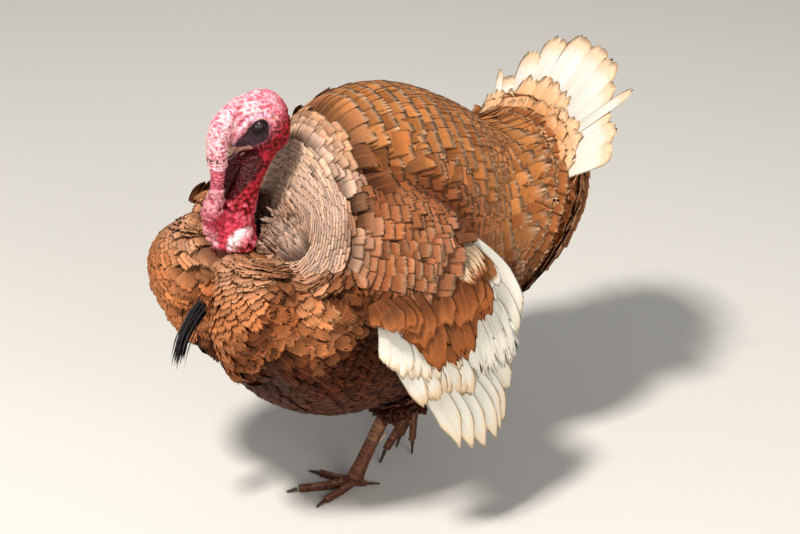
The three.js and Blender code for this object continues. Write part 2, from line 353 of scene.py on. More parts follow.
def ico_arrays(subdivisions):
    """Points and faces of a unit ball, ready to be copied many times."""
    bpy.ops.mesh.primitive_ico_sphere_add(subdivisions=subdivisions, radius=1, location=(0, 0, 0))
    ball = bpy.context.active_object
    points, faces = points_of(ball), np.array([p.vertices[:] for p in ball.data.polygons])
    delete(ball)
    return points, faces


ball_points, ball_faces = ico_arrays(3)


def balls_object(name, centres, radii):
    verts = np.array(centres)[:, None] + ball_points[None] * np.array(radii)[:, None, None]
    return quads_object(name, verts.reshape(-1, 3), repeated(ball_faces, len(radii), len(ball_points)))


print("bench tools ready")

# %% [markdown]
# ## Node groups shared by the materials
# Skin has a fine pebbled grain, and every vane has barbs that run out from its shaft. Each effect is
# a node group with named inputs, so that head, legs and feathers can all use it at their own scale.

# %% Group tools


def node_group(name, inputs, outputs):
    group = bpy.data.node_groups.new(name, "ShaderNodeTree")
    for label, kind, value in inputs:
        socket = group.interface.new_socket(name=label, in_out="INPUT", socket_type="NodeSocket" + kind)
        if value is not None:
            socket.default_value = value
    for label, kind in outputs:
        group.interface.new_socket(name=label, in_out="OUTPUT", socket_type="NodeSocket" + kind)
    return group, group.nodes.new("NodeGroupInput"), group.nodes.new("NodeGroupOutput")


def feed(tree, socket, value):
    """Set a socket to a number or a colour, or link another node's output to it."""
    if isinstance(value, bpy.types.NodeSocket):
        tree.links.new(value, socket)
    elif isinstance(value, (tuple, np.ndarray)):
        socket.default_value = (*value[:3], 1)
    else:
        socket.default_value = value


def feed_all(tree, node, inputs):
    for key, value in inputs.items():
        feed(tree, node.inputs[key], value)


def new_node(tree, kind, inputs, **settings):
    node = tree.nodes.new("ShaderNode" + kind)
    for key, value in settings.items():
        setattr(node, key, value)
    feed_all(tree, node, inputs)
    return node


def math_node(tree, operation, a, b=0.0, clamp=False):
    return new_node(tree, "Math", {0: a, 1: b}, operation=operation, use_clamp=clamp).outputs[0]


def blend_colours(tree, share, a, b, kind="MIX"):
    return new_node(tree, "Mix", {0: share, 6: a, 7: b}, data_type="RGBA", blend_type=kind).outputs[2]


def brightened(tree, tint, gain):
    """A colour times a number, which is given to all three channels."""
    grey = new_node(tree, "CombineXYZ", {0: gain, 1: gain, 2: gain})
    return blend_colours(tree, 1.0, tint, grey.outputs[0], "MULTIPLY")


def noise_node(tree, vector, scale, detail=2.0, roughness=0.5):
    inputs = {"Vector": vector, "Scale": scale, "Detail": detail, "Roughness": roughness}
    return new_node(tree, "TexNoise", inputs).outputs["Fac"]


# %% The barbs of a vane
# Across runs from 0 to 1 over the vane and Along from root to tip, so |Across - 0.5| is the distance
# from the shaft. Streaks slope forward from the shaft, as barbs do.
barbs, group_in, group_out = node_group(
    "barbs",
    [("Vane", "Vector", None), ("Place", "Vector", None), ("Streaks", "Float", 16.0)],
    [("Streak", "Float"), ("Shaft", "Float"), ("Rim", "Float")],
)
across_vane, along_vane, _ = new_node(barbs, "SeparateXYZ", {0: group_in.outputs["Vane"]}).outputs
from_shaft = math_node(barbs, "ABSOLUTE", math_node(barbs, "SUBTRACT", across_vane, 0.5))
slope = math_node(barbs, "SUBTRACT", math_node(barbs, "MULTIPLY", along_vane, 0.5), from_shaft)
sloped = math_node(barbs, "MULTIPLY", slope, group_in.outputs["Streaks"])
packed = new_node(barbs, "CombineXYZ", {0: sloped, 1: math_node(barbs, "MULTIPLY", along_vane, 2.2)})
spread = new_node(barbs, "VectorMath", {0: group_in.outputs["Place"], "Scale": 90}, operation="SCALE")
shifted = new_node(barbs, "VectorMath", {0: packed.outputs[0], 1: spread.outputs[0]})
shaft_line = math_node(barbs, "SUBTRACT", 1.0, math_node(barbs, "DIVIDE", from_shaft, 0.035), clamp=True)
tip_rim = math_node(barbs, "MULTIPLY", math_node(barbs, "SUBTRACT", along_vane, 0.95), 25.0, clamp=True)
side_rim = math_node(barbs, "MULTIPLY", math_node(barbs, "SUBTRACT", from_shaft, 0.46), 5.0, clamp=True)
feed_all(barbs, group_out, {
    "Streak": noise_node(barbs, shifted.outputs[0], 1.0, 3.0, 0.6),
    "Shaft": shaft_line,
    "Rim": math_node(barbs, "MAXIMUM", tip_rim, side_rim),
})
print("group:", barbs.name)

# %% The grain of bare skin
grain, group_in, group_out = node_group(
    "skin_grain",
    [("Place", "Vector", None), ("Cell", "Float", 900.0), ("Blotch", "Float", 90.0)],
    [("Height", "Float"), ("Blotches", "Float"), ("Pits", "Float")],
)
place, cell = group_in.outputs["Place"], group_in.outputs["Cell"]
pits = new_node(grain, "TexVoronoi", {"Vector": place, "Scale": cell}, feature="SMOOTH_F1").outputs["Distance"]
fine = noise_node(grain, place, math_node(grain, "MULTIPLY", cell, 1.7))
mound = math_node(grain, "SUBTRACT", 1.0, pits)
feed_all(grain, group_out, {
    "Height": math_node(grain, "ADD", mound, math_node(grain, "MULTIPLY", fine, 0.4)),
    "Blotches": noise_node(grain, place, group_in.outputs["Blotch"], 4.0),
    "Pits": pits,
})
print("group:", grain.name)

# %% [markdown]
# ## Materials
# Each finish starts from colours stored on the mesh, so that one material can carry the whole
# bird's markings. The group's streaks or grain then break the colour up and raise a fine relief.

# %% Feather material


def start_material(name):
    material = bpy.data.materials.new(name)
    material.use_nodes = True
    tree = material.node_tree
    return material, tree, tree.nodes["Principled BSDF"]


def stored_colour(tree, name):
    return new_node(tree, "Attribute", {}, attribute_name=name).outputs["Color"]


def object_place(tree):
    return new_node(tree, "TexCoord", {}).outputs["Object"]


def bump_node(tree, height, strength, distance):
    return new_node(tree, "Bump", {"Strength": strength, "Distance": distance, "Height": height}).outputs[0]


def feather_material(name, streaks, contrast, rim_share, roughness, sheen, shaft_colour, relief):
    material, tree, shader = start_material(name)
    vane = new_node(tree, "UVMap", {}, uv_map="vane").outputs[0]
    inputs = {"Vane": vane, "Place": object_place(tree), "Streaks": streaks}
    group = new_node(tree, "Group", inputs, node_tree=barbs).outputs
    edge = math_node(tree, "MULTIPLY", group["Rim"], rim_share)
    edged = blend_colours(tree, edge, stored_colour(tree, "tint"), stored_colour(tree, "rim"))
    streak = math_node(tree, "SUBTRACT", group["Streak"], 0.5)
    gain = math_node(tree, "ADD", math_node(tree, "MULTIPLY", streak, contrast), 1.0)
    shaft = math_node(tree, "MULTIPLY", group["Shaft"], 0.55)
    feed_all(tree, shader, {
        "Base Color": blend_colours(tree, shaft, brightened(tree, edged, gain), shaft_colour),
        "Roughness": math_node(tree, "ADD", math_node(tree, "MULTIPLY", streak, 0.3), roughness),
        "Sheen Weight": sheen,
        "Sheen Roughness": 0.45,
        "Sheen Tint": (1.0, 0.75, 0.5),
        "Specular IOR Level": 0.1,
        "Normal": bump_node(tree, group["Streak"], relief, 0.0012),
    })
    return material


body_feather = feather_material("body_feather", 26.0, 1.0, 0.7, 0.6, 0.02, colour(150, 92, 52), 0.6)
flight_feather = feather_material("flight_feather", 60.0, 0.2, 0.4, 0.5, 0.06, colour(214, 192, 160), 0.3)
print("materials:", body_feather.name, flight_feather.name)

# %% Skin, horn, eye and bristle materials


def skin_material(name, cell, blotch, pit, roughness, relief, depth):
    material, tree, shader = start_material(name)
    inputs = {"Place": object_place(tree), "Cell": cell, "Blotch": blotch}
    group = new_node(tree, "Group", inputs, node_tree=grain).outputs
    tint = stored_colour(tree, "tint")
    wave = math_node(tree, "MULTIPLY", math_node(tree, "SUBTRACT", group["Blotches"], 0.5), 1.1)
    # Lighter on the grain's mounds and darker in its pits: painted light and shade, with the skin's own deeper
    # colour in the grooves.
    pits = math_node(tree, "MULTIPLY", math_node(tree, "SUBTRACT", 0.45, group["Pits"]), pit)
    gain = math_node(tree, "ADD", math_node(tree, "ADD", wave, pits), 1.0)
    past_rim = math_node(tree, "SUBTRACT", group["Pits"], 0.35)
    groove = math_node(tree, "MULTIPLY", past_rim, 2.2 * pit, clamp=True)
    deeper = blend_colours(tree, groove, tint, blend_colours(tree, 1.0, tint, tint, "MULTIPLY"))
    blotched = math_node(tree, "MULTIPLY", group["Blotches"], 0.3)
    feed_all(tree, shader, {
        "Base Color": brightened(tree, deeper, gain),
        "Roughness": math_node(tree, "ADD", blotched, roughness - 0.15),
        "Specular IOR Level": 0.2,
        "Normal": bump_node(tree, group["Height"], relief, depth),
    })
    return material, shader


naked_skin, skin_shader = skin_material("naked_skin", 360.0, 140.0, 0.8, 0.42, 0.8, 0.0014)
skin_shader.inputs["Subsurface Weight"].default_value = 0.12
skin_shader.inputs["Subsurface Radius"].default_value = (0.004, 0.0012, 0.0008)
skin_shader.inputs["Subsurface Scale"].default_value = 1.0
leg_scute, _ = skin_material("leg_scute", 420.0, 160.0, 0.3, 0.5, 0.4, 0.0008)
horn, _ = skin_material("horn", 300.0, 60.0, 0.12, 0.34, 0.15, 0.0005)
bristle, _ = skin_material("bristle", 500.0, 120.0, 0.3, 0.5, 0.3, 0.0005)
print("materials:", naked_skin.name, leg_scute.name, horn.name, bristle.name)

# %% The eye's material
# The iris is a little speckled, under a clear wet coat.
eye_dark, tree, shader = start_material("eye_dark")
speck = math_node(tree, "ADD", noise_node(tree, object_place(tree), 1400.0, 3.0), 0.5)
feed_all(tree, shader, {
    "Base Color": brightened(tree, stored_colour(tree, "tint"), speck),
    "Roughness": 0.08,
    "Coat Weight": 1.0,
    "Coat Roughness": 0.03,
})
print("material:", eye_dark.name)

# %% [markdown]
# ## The body under the feathers
# The solids reach out to the feather tips, so the skin lies inside them by the depth of the coat. Each
# flesh part is copied, melted smooth by a voxel remesh, and drawn in along its own normals.

# %% Body forms
COAT = 12 * MM
LONGEST_STEP = 4.1 * MM
BODY_VOXEL = 7 * MM


def along_line(points, line):
    """Each point's distance to a bent line, how far along the line it lies, and the nearest point."""
    best = np.full(len(points), 9.0)
    where = np.zeros(len(points))
    foot = np.zeros((len(points), 3))
    run = 0.0
    for a, b in zip(line[:-1], line[1:]):
        step = b - a
        length = np.linalg.norm(step)
        t = np.clip((points - a) @ step / length**2, 0, 1)
        at = a + t[:, None] * step
        gap = lengths(points - at)
        closer = gap < best
        foot[closer] = at[closer]
        best[closer] = gap[closer]
        where[closer] = run + t[closer] * length
        run += length
    return best, where, foot


def drawn_in(name, nodes, depth, voxel, rounds=4):
    """Drawn in by small steps with a remesh between them, so that thin edges don't turn inside out."""
    piece = copy_of(name, *nodes)
    remesh(piece, voxel, rounds)
    steps = math.ceil(depth / LONGEST_STEP)
    for _ in range(steps):
        apply_modifier(piece, "DISPLACE", mid_level=0.0, strength=-depth / steps)
        remesh(piece, voxel, 1)
    return piece


# The coat parts in deep folds where one mass meets the next. Each fold is a bent line on the left
# side, measured from the trunk's middle; then the side that lies lower, how deep the step is and how
# far it reaches. The right side mirrors it. On its high side a fold is steep and narrow. Swells are
# places that stand out: where, how wide and how high.
FOLDS = (
    ([(50, -168, 66), (80, -160, 68), (120, -148, 66), (160, -117, 64), (176, -99, 48), (182, -80, 14)],
     (0, 0.5, 1), 30, 60),
    ([(95, -10, 166), (120, -27, 144), (135, -62, 129), (135, -90, 115), (129, -122, 84)], (1, 0.4, -0.3), 15, 35),
    ([(180, -138, 82), (188, -114, 86), (193, -88, 95), (198, -50, 103), (196, -20, 122), (190, 15, 126)],
     (0.3, 0, -1), 22, 26),
    ([(184, -142, 74), (190, -128, 46), (192, -114, 20)], (0, -1, 0), 16, 18),
    ([(100, -14, 158), (123, 19, 147), (135, 45, 132), (147, 62, 107), (160, 80, 70)], (0.5, -0.3, -1), 17, 35),
    ([(112, -154, 63), (130, -165, 45), (143, -183, 20), (148, -196, -12), (135, -214, -50)], (0.3, 1, 0), 22, 26),
    ([(90, -205, -104), (104, -215, -60), (128, -205, -22), (150, -190, -12), (167, -153, -42),
      (171, -131, -35), (176, -91, -5)], (0.3, 0.4, -1), 34, 60),
    ([(0, -224, 6), (0, -226, -20), (0, -214, -80)], (1, 0, 0), 26, 24),
)
FOLD_HIGH_SIDE = 9
SWELLS = (((108, -208, 8), 50, 16), ((162, -128, 30), 34, 15), ((150, -38, 108), 42, 9), ((26, -194, 60), 30, 5),
          ((54, -222, -10), 36, 9))


# Balls melted into the body: the crop below the wattles, and the tufts beside the neck.
MOUNDS = (((28, -184, 20), 34), ((60, -190, 20), 30), ((36, -120, 68), 22))


def press_folds(piece):
    points, normals = points_of(piece), normals_of(piece)
    folded = on_left(points)
    move = np.zeros(len(points))
    for line, lower, deep, far in FOLDS:
        line = TRUNK + np.array(line) * MM
        gap, _, foot = along_line(folded, line)
        beyond = ((folded - foot) * unit(np.array(lower, float))).sum(1) > 0
        gap = np.maximum(gap - COAT, 0)
        move = np.minimum(move, -deep * MM * bell(gap, np.where(beyond, far, FOLD_HIGH_SIDE) * MM))
    for place, wide, high_by in SWELLS:
        gap = lengths(folded - (TRUNK + np.array(place) * MM))
        move += high_by * MM * bell(gap, wide * MM)
    move_points(piece, points + normals * move[:, None])


SIDES = (("left", 1), ("right", -1))
trunk_form = drawn_in("trunk_form", ["trunk"], COAT, BODY_VOXEL)
rump_form = drawn_in("rump_form", ["rump"], 10 * MM, 5 * MM)
arm_forms = [drawn_in("arm_" + side, [f"wing_{side}_arm"], 7 * MM, 3.5 * MM) for side, _ in SIDES]
thigh_forms = {side: drawn_in("thigh_" + side, ["thigh_" + side], 4 * MM, 4 * MM, 2) for side, _ in SIDES}
trunk_tree, rump_tree = tree_of(trunk_form), tree_of(rump_form)
mound_places = [TRUNK + mirrored(place, sign) * MM for _, sign in SIDES for place, _ in MOUNDS]
mounds = balls_object("mounds", mound_places, [size * MM for _ in SIDES for _, size in MOUNDS])
body_form = joined("body_form", [trunk_form, rump_form, mounds, *arm_forms])
remesh(body_form, BODY_VOXEL, 1)
# Swollen and then drawn in again by as much, so that narrow gaps between the forms close up.
CLOSING = 4 * MM
for step in [CLOSING] * 8 + [-CLOSING] * 8:
    apply_modifier(body_form, "DISPLACE", mid_level=0.0, strength=step)
    remesh(body_form, BODY_VOXEL, 1)
press_folds(body_form)
body_tree = tree_of(body_form)
thigh_trees = {side: tree_of(form) for side, form in thigh_forms.items()}
print("body form:", len(body_form.data.vertices), "points")

# %% [markdown]
# ## The bare head and neck
# A tom's head is bare skin heaped into knobs: coarse folds on the crown, fine ones on the forehead,
# rings on the long snood, beads down the neck and fat lobes at its foot. One knob is copied about a
# thousand times over the smooth head, and a fine remesh melts all of it into a single skin.

# %% Smooth head, and lines to measure along
FACE = np.array([0, EYE[1], EYE[2]])
SNOOD_PATH = (
    ((3, -24, 16), 9), ((6, -34, 10), 11), ((8, -44, 0), 12), ((9, -49, -14), 12), ((10, -51, -30), 11.5),
    ((10, -51, -46), 10), ((10, -52, -60), 8.4), ((9, -53, -73), 7.8), ((8, -55, -87), 8), ((7, -58, -97), 10),
    ((7, -60, -106), 12),
)
LOBES = (
    ((4, -54, -112), 10), ((-2, -54, -124), 11), ((-5, -52, -137), 10), ((-6, -50, -146), 8),
    ((25, -30, -145), 13), ((30, -25, -143), 8), ((15, -38, -141), 9), ((-19, -42, -138), 11),
    ((-26, -34, -140), 8), ((0, -34, -120), 13),
)


def lean_neck(piece):
    """Draw the solid neck in from behind, which makes it as lean as a living one."""
    points = points_of(piece)
    high_up = smooth(FACE[2] - 70 * MM, FACE[2] - 30 * MM, points[:, 2])
    front = FACE[1] - 42 * MM + 50 * MM * high_up
    fade = smooth(FACE[2] - 175 * MM, FACE[2] - 120 * MM, points[:, 2])
    points[:, 1] -= 0.2 * fade * np.maximum(points[:, 1] - front, 0)
    move_points(piece, points)


def spaced_along(line, count):
    """Points spaced evenly along a bent line, how far along each is, and how far each corner is."""
    run = np.concatenate([[0], np.cumsum(lengths(np.diff(line, axis=0)))])
    at = np.linspace(0, run[-1], count)
    return np.stack([np.interp(at, run, line[:, k]) for k in range(3)], axis=1), at, run


head_base = copy_of("head_base", "head", "neck", "dewlap")
lean_neck(head_base)
path = np.array([place for place, _ in SNOOD_PATH]) * MM + FACE
snood_balls, at, runs = spaced_along(path, 50)
fleshy_radii = [*np.interp(at, runs, [radius * MM for _, radius in SNOOD_PATH]), *[r * MM for _, r in LOBES]]
lobe_balls = np.array([place for place, _ in LOBES]) * MM + FACE
fleshy = balls_object("fleshy", np.concatenate([snood_balls, lobe_balls]), fleshy_radii)
head_base = joined("head_base", [head_base, fleshy])
remesh(head_base, 1.7 * MM, 4)
head_tree = tree_of(head_base)
snood_line = path[1:]
lobe_middle = FACE + mm(6, -44, -130)
white_lobe = FACE + mm(28, -27, -149)
# Ridges of skin on the left side of the head, with the radius of each along its length: the brow,
# three folds of the crown and the rim of the throat's flap.
RIDGES = (
    ([(20, 10, 9), (21, -3, 10), (19, -14, 7), (15, -23, -7), (9, -28, -22), (7, -37, -36)],
     (1.4, 2.8, 3.0, 2.6, 2.2, 1.6)),
    ([(20, 16, 14), (19, 2, 15), (16, -14, 13), (10, -27, 3), (7, -34, -10)], (1.6, 2.4, 2.6, 2.4, 1.6)),
    ([(17, 18, 19), (16, 4, 20), (12, -12, 18), (5, -27, 11)], (1.4, 2.2, 2.4, 1.6)),
    ([(14, 14, 24), (13, 2, 25), (9, -12, 23), (4, -22, 17)], (1.4, 2.0, 2.2, 1.6)),
    ([(21, -2, -27), (17, 5, -43), (17, 2, -52), (16, -6, -65), (13, -18, -75), (8, -35, -90)],
     (1.2, 1.5, 1.5, 1.4, 1.3, 1.1)),
)


def on_head(point, lift=0.0):
    place, normal, _, _ = head_tree.find_nearest(Vector(point))
    return np.array(place) + np.array(normal) * lift


laid_ridges = [np.array([on_head(FACE + np.array(v) * MM) for v in line]) for line, _ in RIDGES]


def ridge_gap(points, ridges):
    """Distance to the nearest ridge, on either side of the head."""
    return np.min([along_line(on_left(points), line)[0] for line in ridges], axis=0)


print("smooth head:", len(head_base.data.vertices), "points")

# %% Where the knobs sit and how big they are


def side_gap(points, line):
    """Distance to a bent line on the side of the face, seen square from the side."""
    flat = [1e-6, 1, 1]
    return along_line(points * flat, (FACE + np.array([[0, *place] for place in line]) * MM) * flat)[0]


def eye_patch(points, wider=0.0):
    """1 in the smooth patch round the eye, which tapers forward and down to the bill, 0 outside."""
    patch = 0
    for line, core, edge in (
        ([(0, -4), (-1, -13)], 9.5, 13.5), ([(-4, -17), (-30, -35)], 6, 10), ([(-8, -8), (-19, -24)], 7, 10),
    ):
        gap = side_gap(points, line)
        patch = np.maximum(patch, 1 - smooth(core * MM + wider, edge * MM + wider, gap))
    return patch * (np.abs(points[:, 0]) > 5 * MM)


def throat_zone(points):
    """1 on the smooth flap of the throat, in front of a line from the gape to the snood's end."""
    y, z = (points - FACE).T[1:] / MM
    edge = np.interp(z, [-91, -75, -65, -52, -43, -27], [-36, -19, -8, 1, 3, -4])
    inside = smooth(-1.0, 1.5, edge - y) * smooth(-94, -90, z) * (1 - smooth(-34, -30, z))
    return inside * (along_line(points, snood_line)[0] > 12.5 * MM)


def knob_size(points):
    """The radius of a knob at each point of the head; 0 where the skin is smooth."""
    z = points[:, 2]
    size = np.full(len(points), 2.3 * MM)
    neck_low = 1 - smooth(NECK[2] + 10 * MM, NECK[2] + 70 * MM, z)
    size += neck_low * 1.2 * MM
    lobes = lengths(points - lobe_middle)
    size += (1 - smooth(30 * MM, 44 * MM, lobes)) * 0.4 * MM
    gap, run, _ = along_line(points, snood_line)
    on_snood = gap < 13 * MM
    size[on_snood] = np.where(run[on_snood] < 62 * MM, 2.0 * MM, 0)
    size[on_snood & (run > 92 * MM)] = 2.9 * MM
    size[eye_patch(points, 4 * MM) > 0.3] *= 0.55
    near_ridge = ridge_gap(points, laid_ridges) < 4.2 * MM
    size[(eye_patch(points) > 0.4) | (throat_zone(points) > 0.3) | near_ridge] = 0
    size[z < FACE[2] - 158 * MM] = 0
    return size


def scatter(points, sizes, spacing):
    """A random choice of points that keeps each a knob's width from the others."""
    chosen = []
    free = sizes > 0
    for k in rng.permutation(len(points)):
        if not free[k]:
            continue
        chosen.append(k)
        near = lengths(points - points[k]) < spacing * (sizes + sizes[k]) / 2
        free[near] = False
    return np.array(chosen)


base_points, base_normals = points_of(head_base), normals_of(head_base)
sizes = knob_size(base_points)
knobs = scatter(base_points, sizes, 1.7)
print(len(knobs), "knobs, from", round(sizes[knobs].min() / MM, 1), "to", round(sizes[knobs].max() / MM, 1), "mm")

# %% One knob, copied over the head
knob_points, knob_faces = ico_arrays(2)


def knob_shells(centres, normals, radii, stretch, lean):
    """Copies of the knob, each flattened on the skin and drawn out along the direction lean."""
    first = unit(lean - (lean * normals).sum(1, keepdims=True) * normals)
    second = np.cross(normals, first)
    axes = [first * (radii * stretch)[:, None], second * radii[:, None], normals * (0.85 * radii)[:, None]]
    verts = np.einsum("pk,nkc->npc", knob_points, np.stack(axes, 1)) + centres[:, None]
    return verts.reshape(-1, 3), repeated(knob_faces, len(centres), len(knob_points))


radii = sizes[knobs] * rng.uniform(0.8, 1.25, len(knobs))
level = np.tile([1.0, 0.3, 0.05], (len(knobs), 1))
lean = unit(level + rng.normal(0, 0.55, (len(knobs), 3)))
knob_verts, knob_tris = knob_shells(
    base_points[knobs] + base_normals[knobs] * (0.12 * radii)[:, None],
    base_normals[knobs],
    radii,
    rng.uniform(1.0, 1.65, len(knobs)),
    lean,
)
pebbles = quads_object("pebbles", knob_verts, knob_tris)
print("pebbles:", len(knob_tris), "faces")

# %% [markdown]
# Lids are two folds of skin round the eye, with the folds of brow and crown above them and the lips
# below. Small balls strung along a curve do this well, because the remesh turns a string of balls into
# a smooth roll of skin.

# %% Lids, brow and folds


def string_of_balls(line, radii, count):
    """Ball centres and radii spaced evenly along a bent line."""
    centres, at, run = spaced_along(line, count)
    return centres, np.interp(at, np.linspace(0, run[-1], len(radii)), radii)


strings = []
EYE_RADIUS = 8.4 * MM
# The lids' half width, half height, thickness and distance from the eye's middle, in millimetres.
LIDS = ((7.0, 5.6, 1.55, 8.7), (9.8, 8.6, 1.25, 10.6))
for _, side in SIDES:
    eye = mirrored(EYE, side)
    out = unit(np.array([side * 1.0, -0.22, 0.05]))
    level_axis = unit(np.cross([0, 0, 1], out)) * side
    rise_axis = np.cross(out, level_axis)
    for half_wide, half_high, thick, shell in LIDS:
        ring = []
        for turn in np.linspace(0, 2 * math.pi, 33):
            a, b = half_wide * math.cos(turn), half_high * math.sin(turn)
            lift = math.sqrt(max(shell**2 - a * a - b * b, 4))
            ring.append(eye + (level_axis * a + rise_axis * b + out * lift) * MM)
        strings.append(string_of_balls(np.array(ring), [thick * MM, thick * MM], 48))
    for line, sized_as in RIDGES:
        place = [FACE + mirrored(v, side) * MM for v in line]
        rough, _ = string_of_balls(np.array(place), [1, 1], 30)
        rough += rng.normal(0, 0.5 * MM, rough.shape)
        laid = np.array([on_head(v, 0.9 * MM) for v in rough])
        sized = np.interp(np.linspace(0, 1, 30), np.linspace(0, 1, len(sized_as)), sized_as) * MM
        strings.append((laid, sized))
    bill_low = low("bill_upper")[2]
    gape_end = np.array([side * 17, 0, 0]) * MM + [0, EYE[1] - 2 * MM, bill_low + 4 * MM]
    gape_start = np.array([side * 10, 0, 0]) * MM + [0, middle("bill_upper")[1], bill_low + 7 * MM]
    gape = np.array([on_head(gape_start), on_head((gape_start + gape_end) / 2), on_head(gape_end)])
    for drop, thick in ((1.8, 1.5), (-2.4, 1.3)):
        lip_radii = [thick * MM, thick * MM, 0.9 * MM]
        strings.append(string_of_balls(gape + [0, 0, drop * MM], lip_radii, 18))
balls, ball_radii = (np.concatenate(each) for each in zip(*strings))
up = np.tile([0.0, 0.0, 1.0], (len(balls), 1))
sideways = np.tile([1.0, 0.0, 0.0], (len(balls), 1))
folds = quads_object("folds", *knob_shells(balls, up, ball_radii, np.full(len(balls), 1.0), sideways))
print("folds:", len(balls), "balls")

# %% Melt the head into one skin
head_skin = joined("head_skin", [head_base, pebbles, folds])
remesh(head_skin, 1.2 * MM)
print("head skin:", len(head_skin.data.vertices), "points")

# %% [markdown]
# The snood hangs in rings like a worm. They are pushed in and out along the normals, by how far
# each point is down the snood.

# %% Rings on the snood
points, normals = points_of(head_skin), normals_of(head_skin)
gap, run, _ = along_line(points, snood_line)
ringed = (1 - smooth(11 * MM, 13.5 * MM, gap)) * smooth(30 * MM, 58 * MM, run)
ringed *= 1 - smooth(88 * MM, 98 * MM, run)
RING_PITCH = 3.9
wobble = 0.9 * np.sin(points[:, 0] / MM * 0.9) + 0.6 * np.sin(points[:, 1] / MM * 0.7 + 1)
ring_wave = np.sin(run / MM * 2 * math.pi / RING_PITCH + wobble + 1.2 * np.sin(run / MM * 0.31))
move_points(head_skin, points + normals * (ringed * 0.7 * MM * ring_wave)[:, None])
print("snood rings over", int((ringed > 0.5).sum()), "points")

# %% [markdown]
# ## One skin
# Body, head and legs were made apart because each needs its own fineness: large plain skin under the
# feathers, fine folds on the head, scaly folds on the legs. A boolean union sews them together.

# %% Sew the skin together
leg_skin = copy_of("leg_skin", "shank_left", "foot_left", "shank_right", "foot_right")
remesh(leg_skin, 1.9 * MM, 1)
plugs = []
for side in ("left", "right"):
    plug = copy_of("plug_" + side, "thigh_" + side, "shank_" + side)
    remesh(plug, 4 * MM, 1)
    apply_modifier(plug, "DISPLACE", mid_level=0.0, strength=-1.2 * MM)
    plugs.append(plug)
body_skin = joined("skin", [body_form, *thigh_forms.values()])
remesh(body_skin, 9 * MM, 1)
for part in (*plugs, leg_skin, head_skin):
    apply_modifier(body_skin, "BOOLEAN", operation="UNION", solver="MANIFOLD", object=part)
delete(*plugs, leg_skin, head_skin)
skin = body_skin
skin.data.polygons.foreach_set("use_smooth", [True] * len(skin.data.polygons))
print("skin:", sum(len(p.vertices) - 2 for p in skin.data.polygons), "triangles")

# %% [markdown]
# The skin's colours follow the blood under it: pale where it is stretched over a knob, deep red in
# the grooves, slate round the eye, and a dusty rust where feathers will cover it. Painted highlight and
# shade lie over this: lighter knob tops, darker grooves, slate darkened toward the eye, a throat flap
# dark as shade, and legs darkened with painted shade.

# %% Colours of the skin
CROWN_PALE, CROWN_ROSE, CROWN_RED = colour(242, 200, 204), colour(210, 104, 122), colour(220, 118, 132)
NECK_TOP, NECK_GROOVE = colour(162, 24, 40), colour(74, 3, 10)
LOBE_PALE, LOBE_PINK, LOBE_ROSE = colour(240, 216, 216), colour(230, 168, 174), colour(196, 58, 80)
BROW, BEAD_PINK, LIP = colour(206, 164, 186), colour(222, 128, 142), colour(196, 146, 132)
# The eye patch's slate is its own colour darkened with painted shade, deepest next to the eye.
SLATE, SLATE_SHADE_BY_EYE = colour(70, 46, 58), colour(26, 14, 20)
# The throat's flap is its own red, darkened nearly to black by painted shade.
THROAT_SHADE, EAR, NECK_FOOT = colour(62, 5, 8), colour(240, 196, 170), colour(120, 62, 44)
# The legs' red and tan are their own colours, darkened with painted shade.
DOWN, SHANK_RED_SHADED, SHANK_TAN_SHADED = colour(150, 92, 58), colour(92, 48, 35), colour(108, 68, 47)
points = points_of(skin)
x, y, z = points.T
tint = np.tile(DOWN, (len(points), 1))
bare = (z > low("caruncles")[2] - 8 * MM) & (y < high("head")[1] + 4 * MM)
bare &= along_line(points, np.array([lobe_middle, NECK, HEAD]))[0] < 95 * MM
bare &= depth_in(head_tree, points) > -7 * MM
rise = np.zeros(len(points))
rise[bare] = -depth_in(head_tree, points[bare])
top = smooth(0.1 * MM, 2.0 * MM, rise)
raised = smooth(-0.8 * MM, 0.8 * MM, rise)
gap, run, _ = along_line(points, snood_line)

# The crown, cloudy with red, and the neck with its dark grooves. The knobs' tops are lighter and the grooves
# darker, partly the skin's own colour and partly painted highlight and shade.
on_snood = (1 - smooth(12 * MM, 15 * MM, gap)) * (1 - 0.5 * smooth(70 * MM, 100 * MM, run))
crown_share = smooth(HEAD[2] - 20 * MM, HEAD[2] + 22 * MM, z + 0.7 * (HEAD[1] - y))
crown_share = np.maximum(crown_share, on_snood)
cloud = np.sin(x / MM * 0.23 + 1) * np.sin(y / MM * 0.19 + 2)
cloud = cloud + np.sin(z / MM * 0.27) * np.sin(x / MM * 0.31 - y / MM * 0.2)
nape = smooth(HEAD[1] - 10 * MM, high("head")[1] - 8 * MM, y)
reddish = np.clip(0.3 + 0.3 * cloud + nape * 0.8, 0, 1)
crown_top = mix(CROWN_PALE, CROWN_RED, reddish * (1 - (gap < 14 * MM) * 0.6))
head_tint = mix(mix(NECK_GROOVE, NECK_TOP, top), mix(CROWN_ROSE, crown_top, top), crown_share)

# The lobes at the foot of the neck: rose, pink on the right and nearly white on the left. Their grooves are darker
# and their raised parts paler, partly their own colour and partly painted shade and highlight.
lobe_share = 1 - smooth(24 * MM, 40 * MM, lengths((points - lobe_middle) * [1, 1, 1.2]))
pale_side = 1 - smooth(21 * MM, 26 * MM, lengths(points - white_lobe))
pink_side = smooth(FACE[2] - 116 * MM, FACE[2] - 132 * MM, z) * (1 - smooth(4 * MM, 12 * MM, x)) * 0.85
lobe_tint = mix(mix(LOBE_ROSE * 0.6, LOBE_ROSE, top), mix(LOBE_ROSE, LOBE_PINK, raised), pink_side)
lobe_tint = mix(lobe_tint, mix(LOBE_PINK, LOBE_PALE, raised), pale_side)
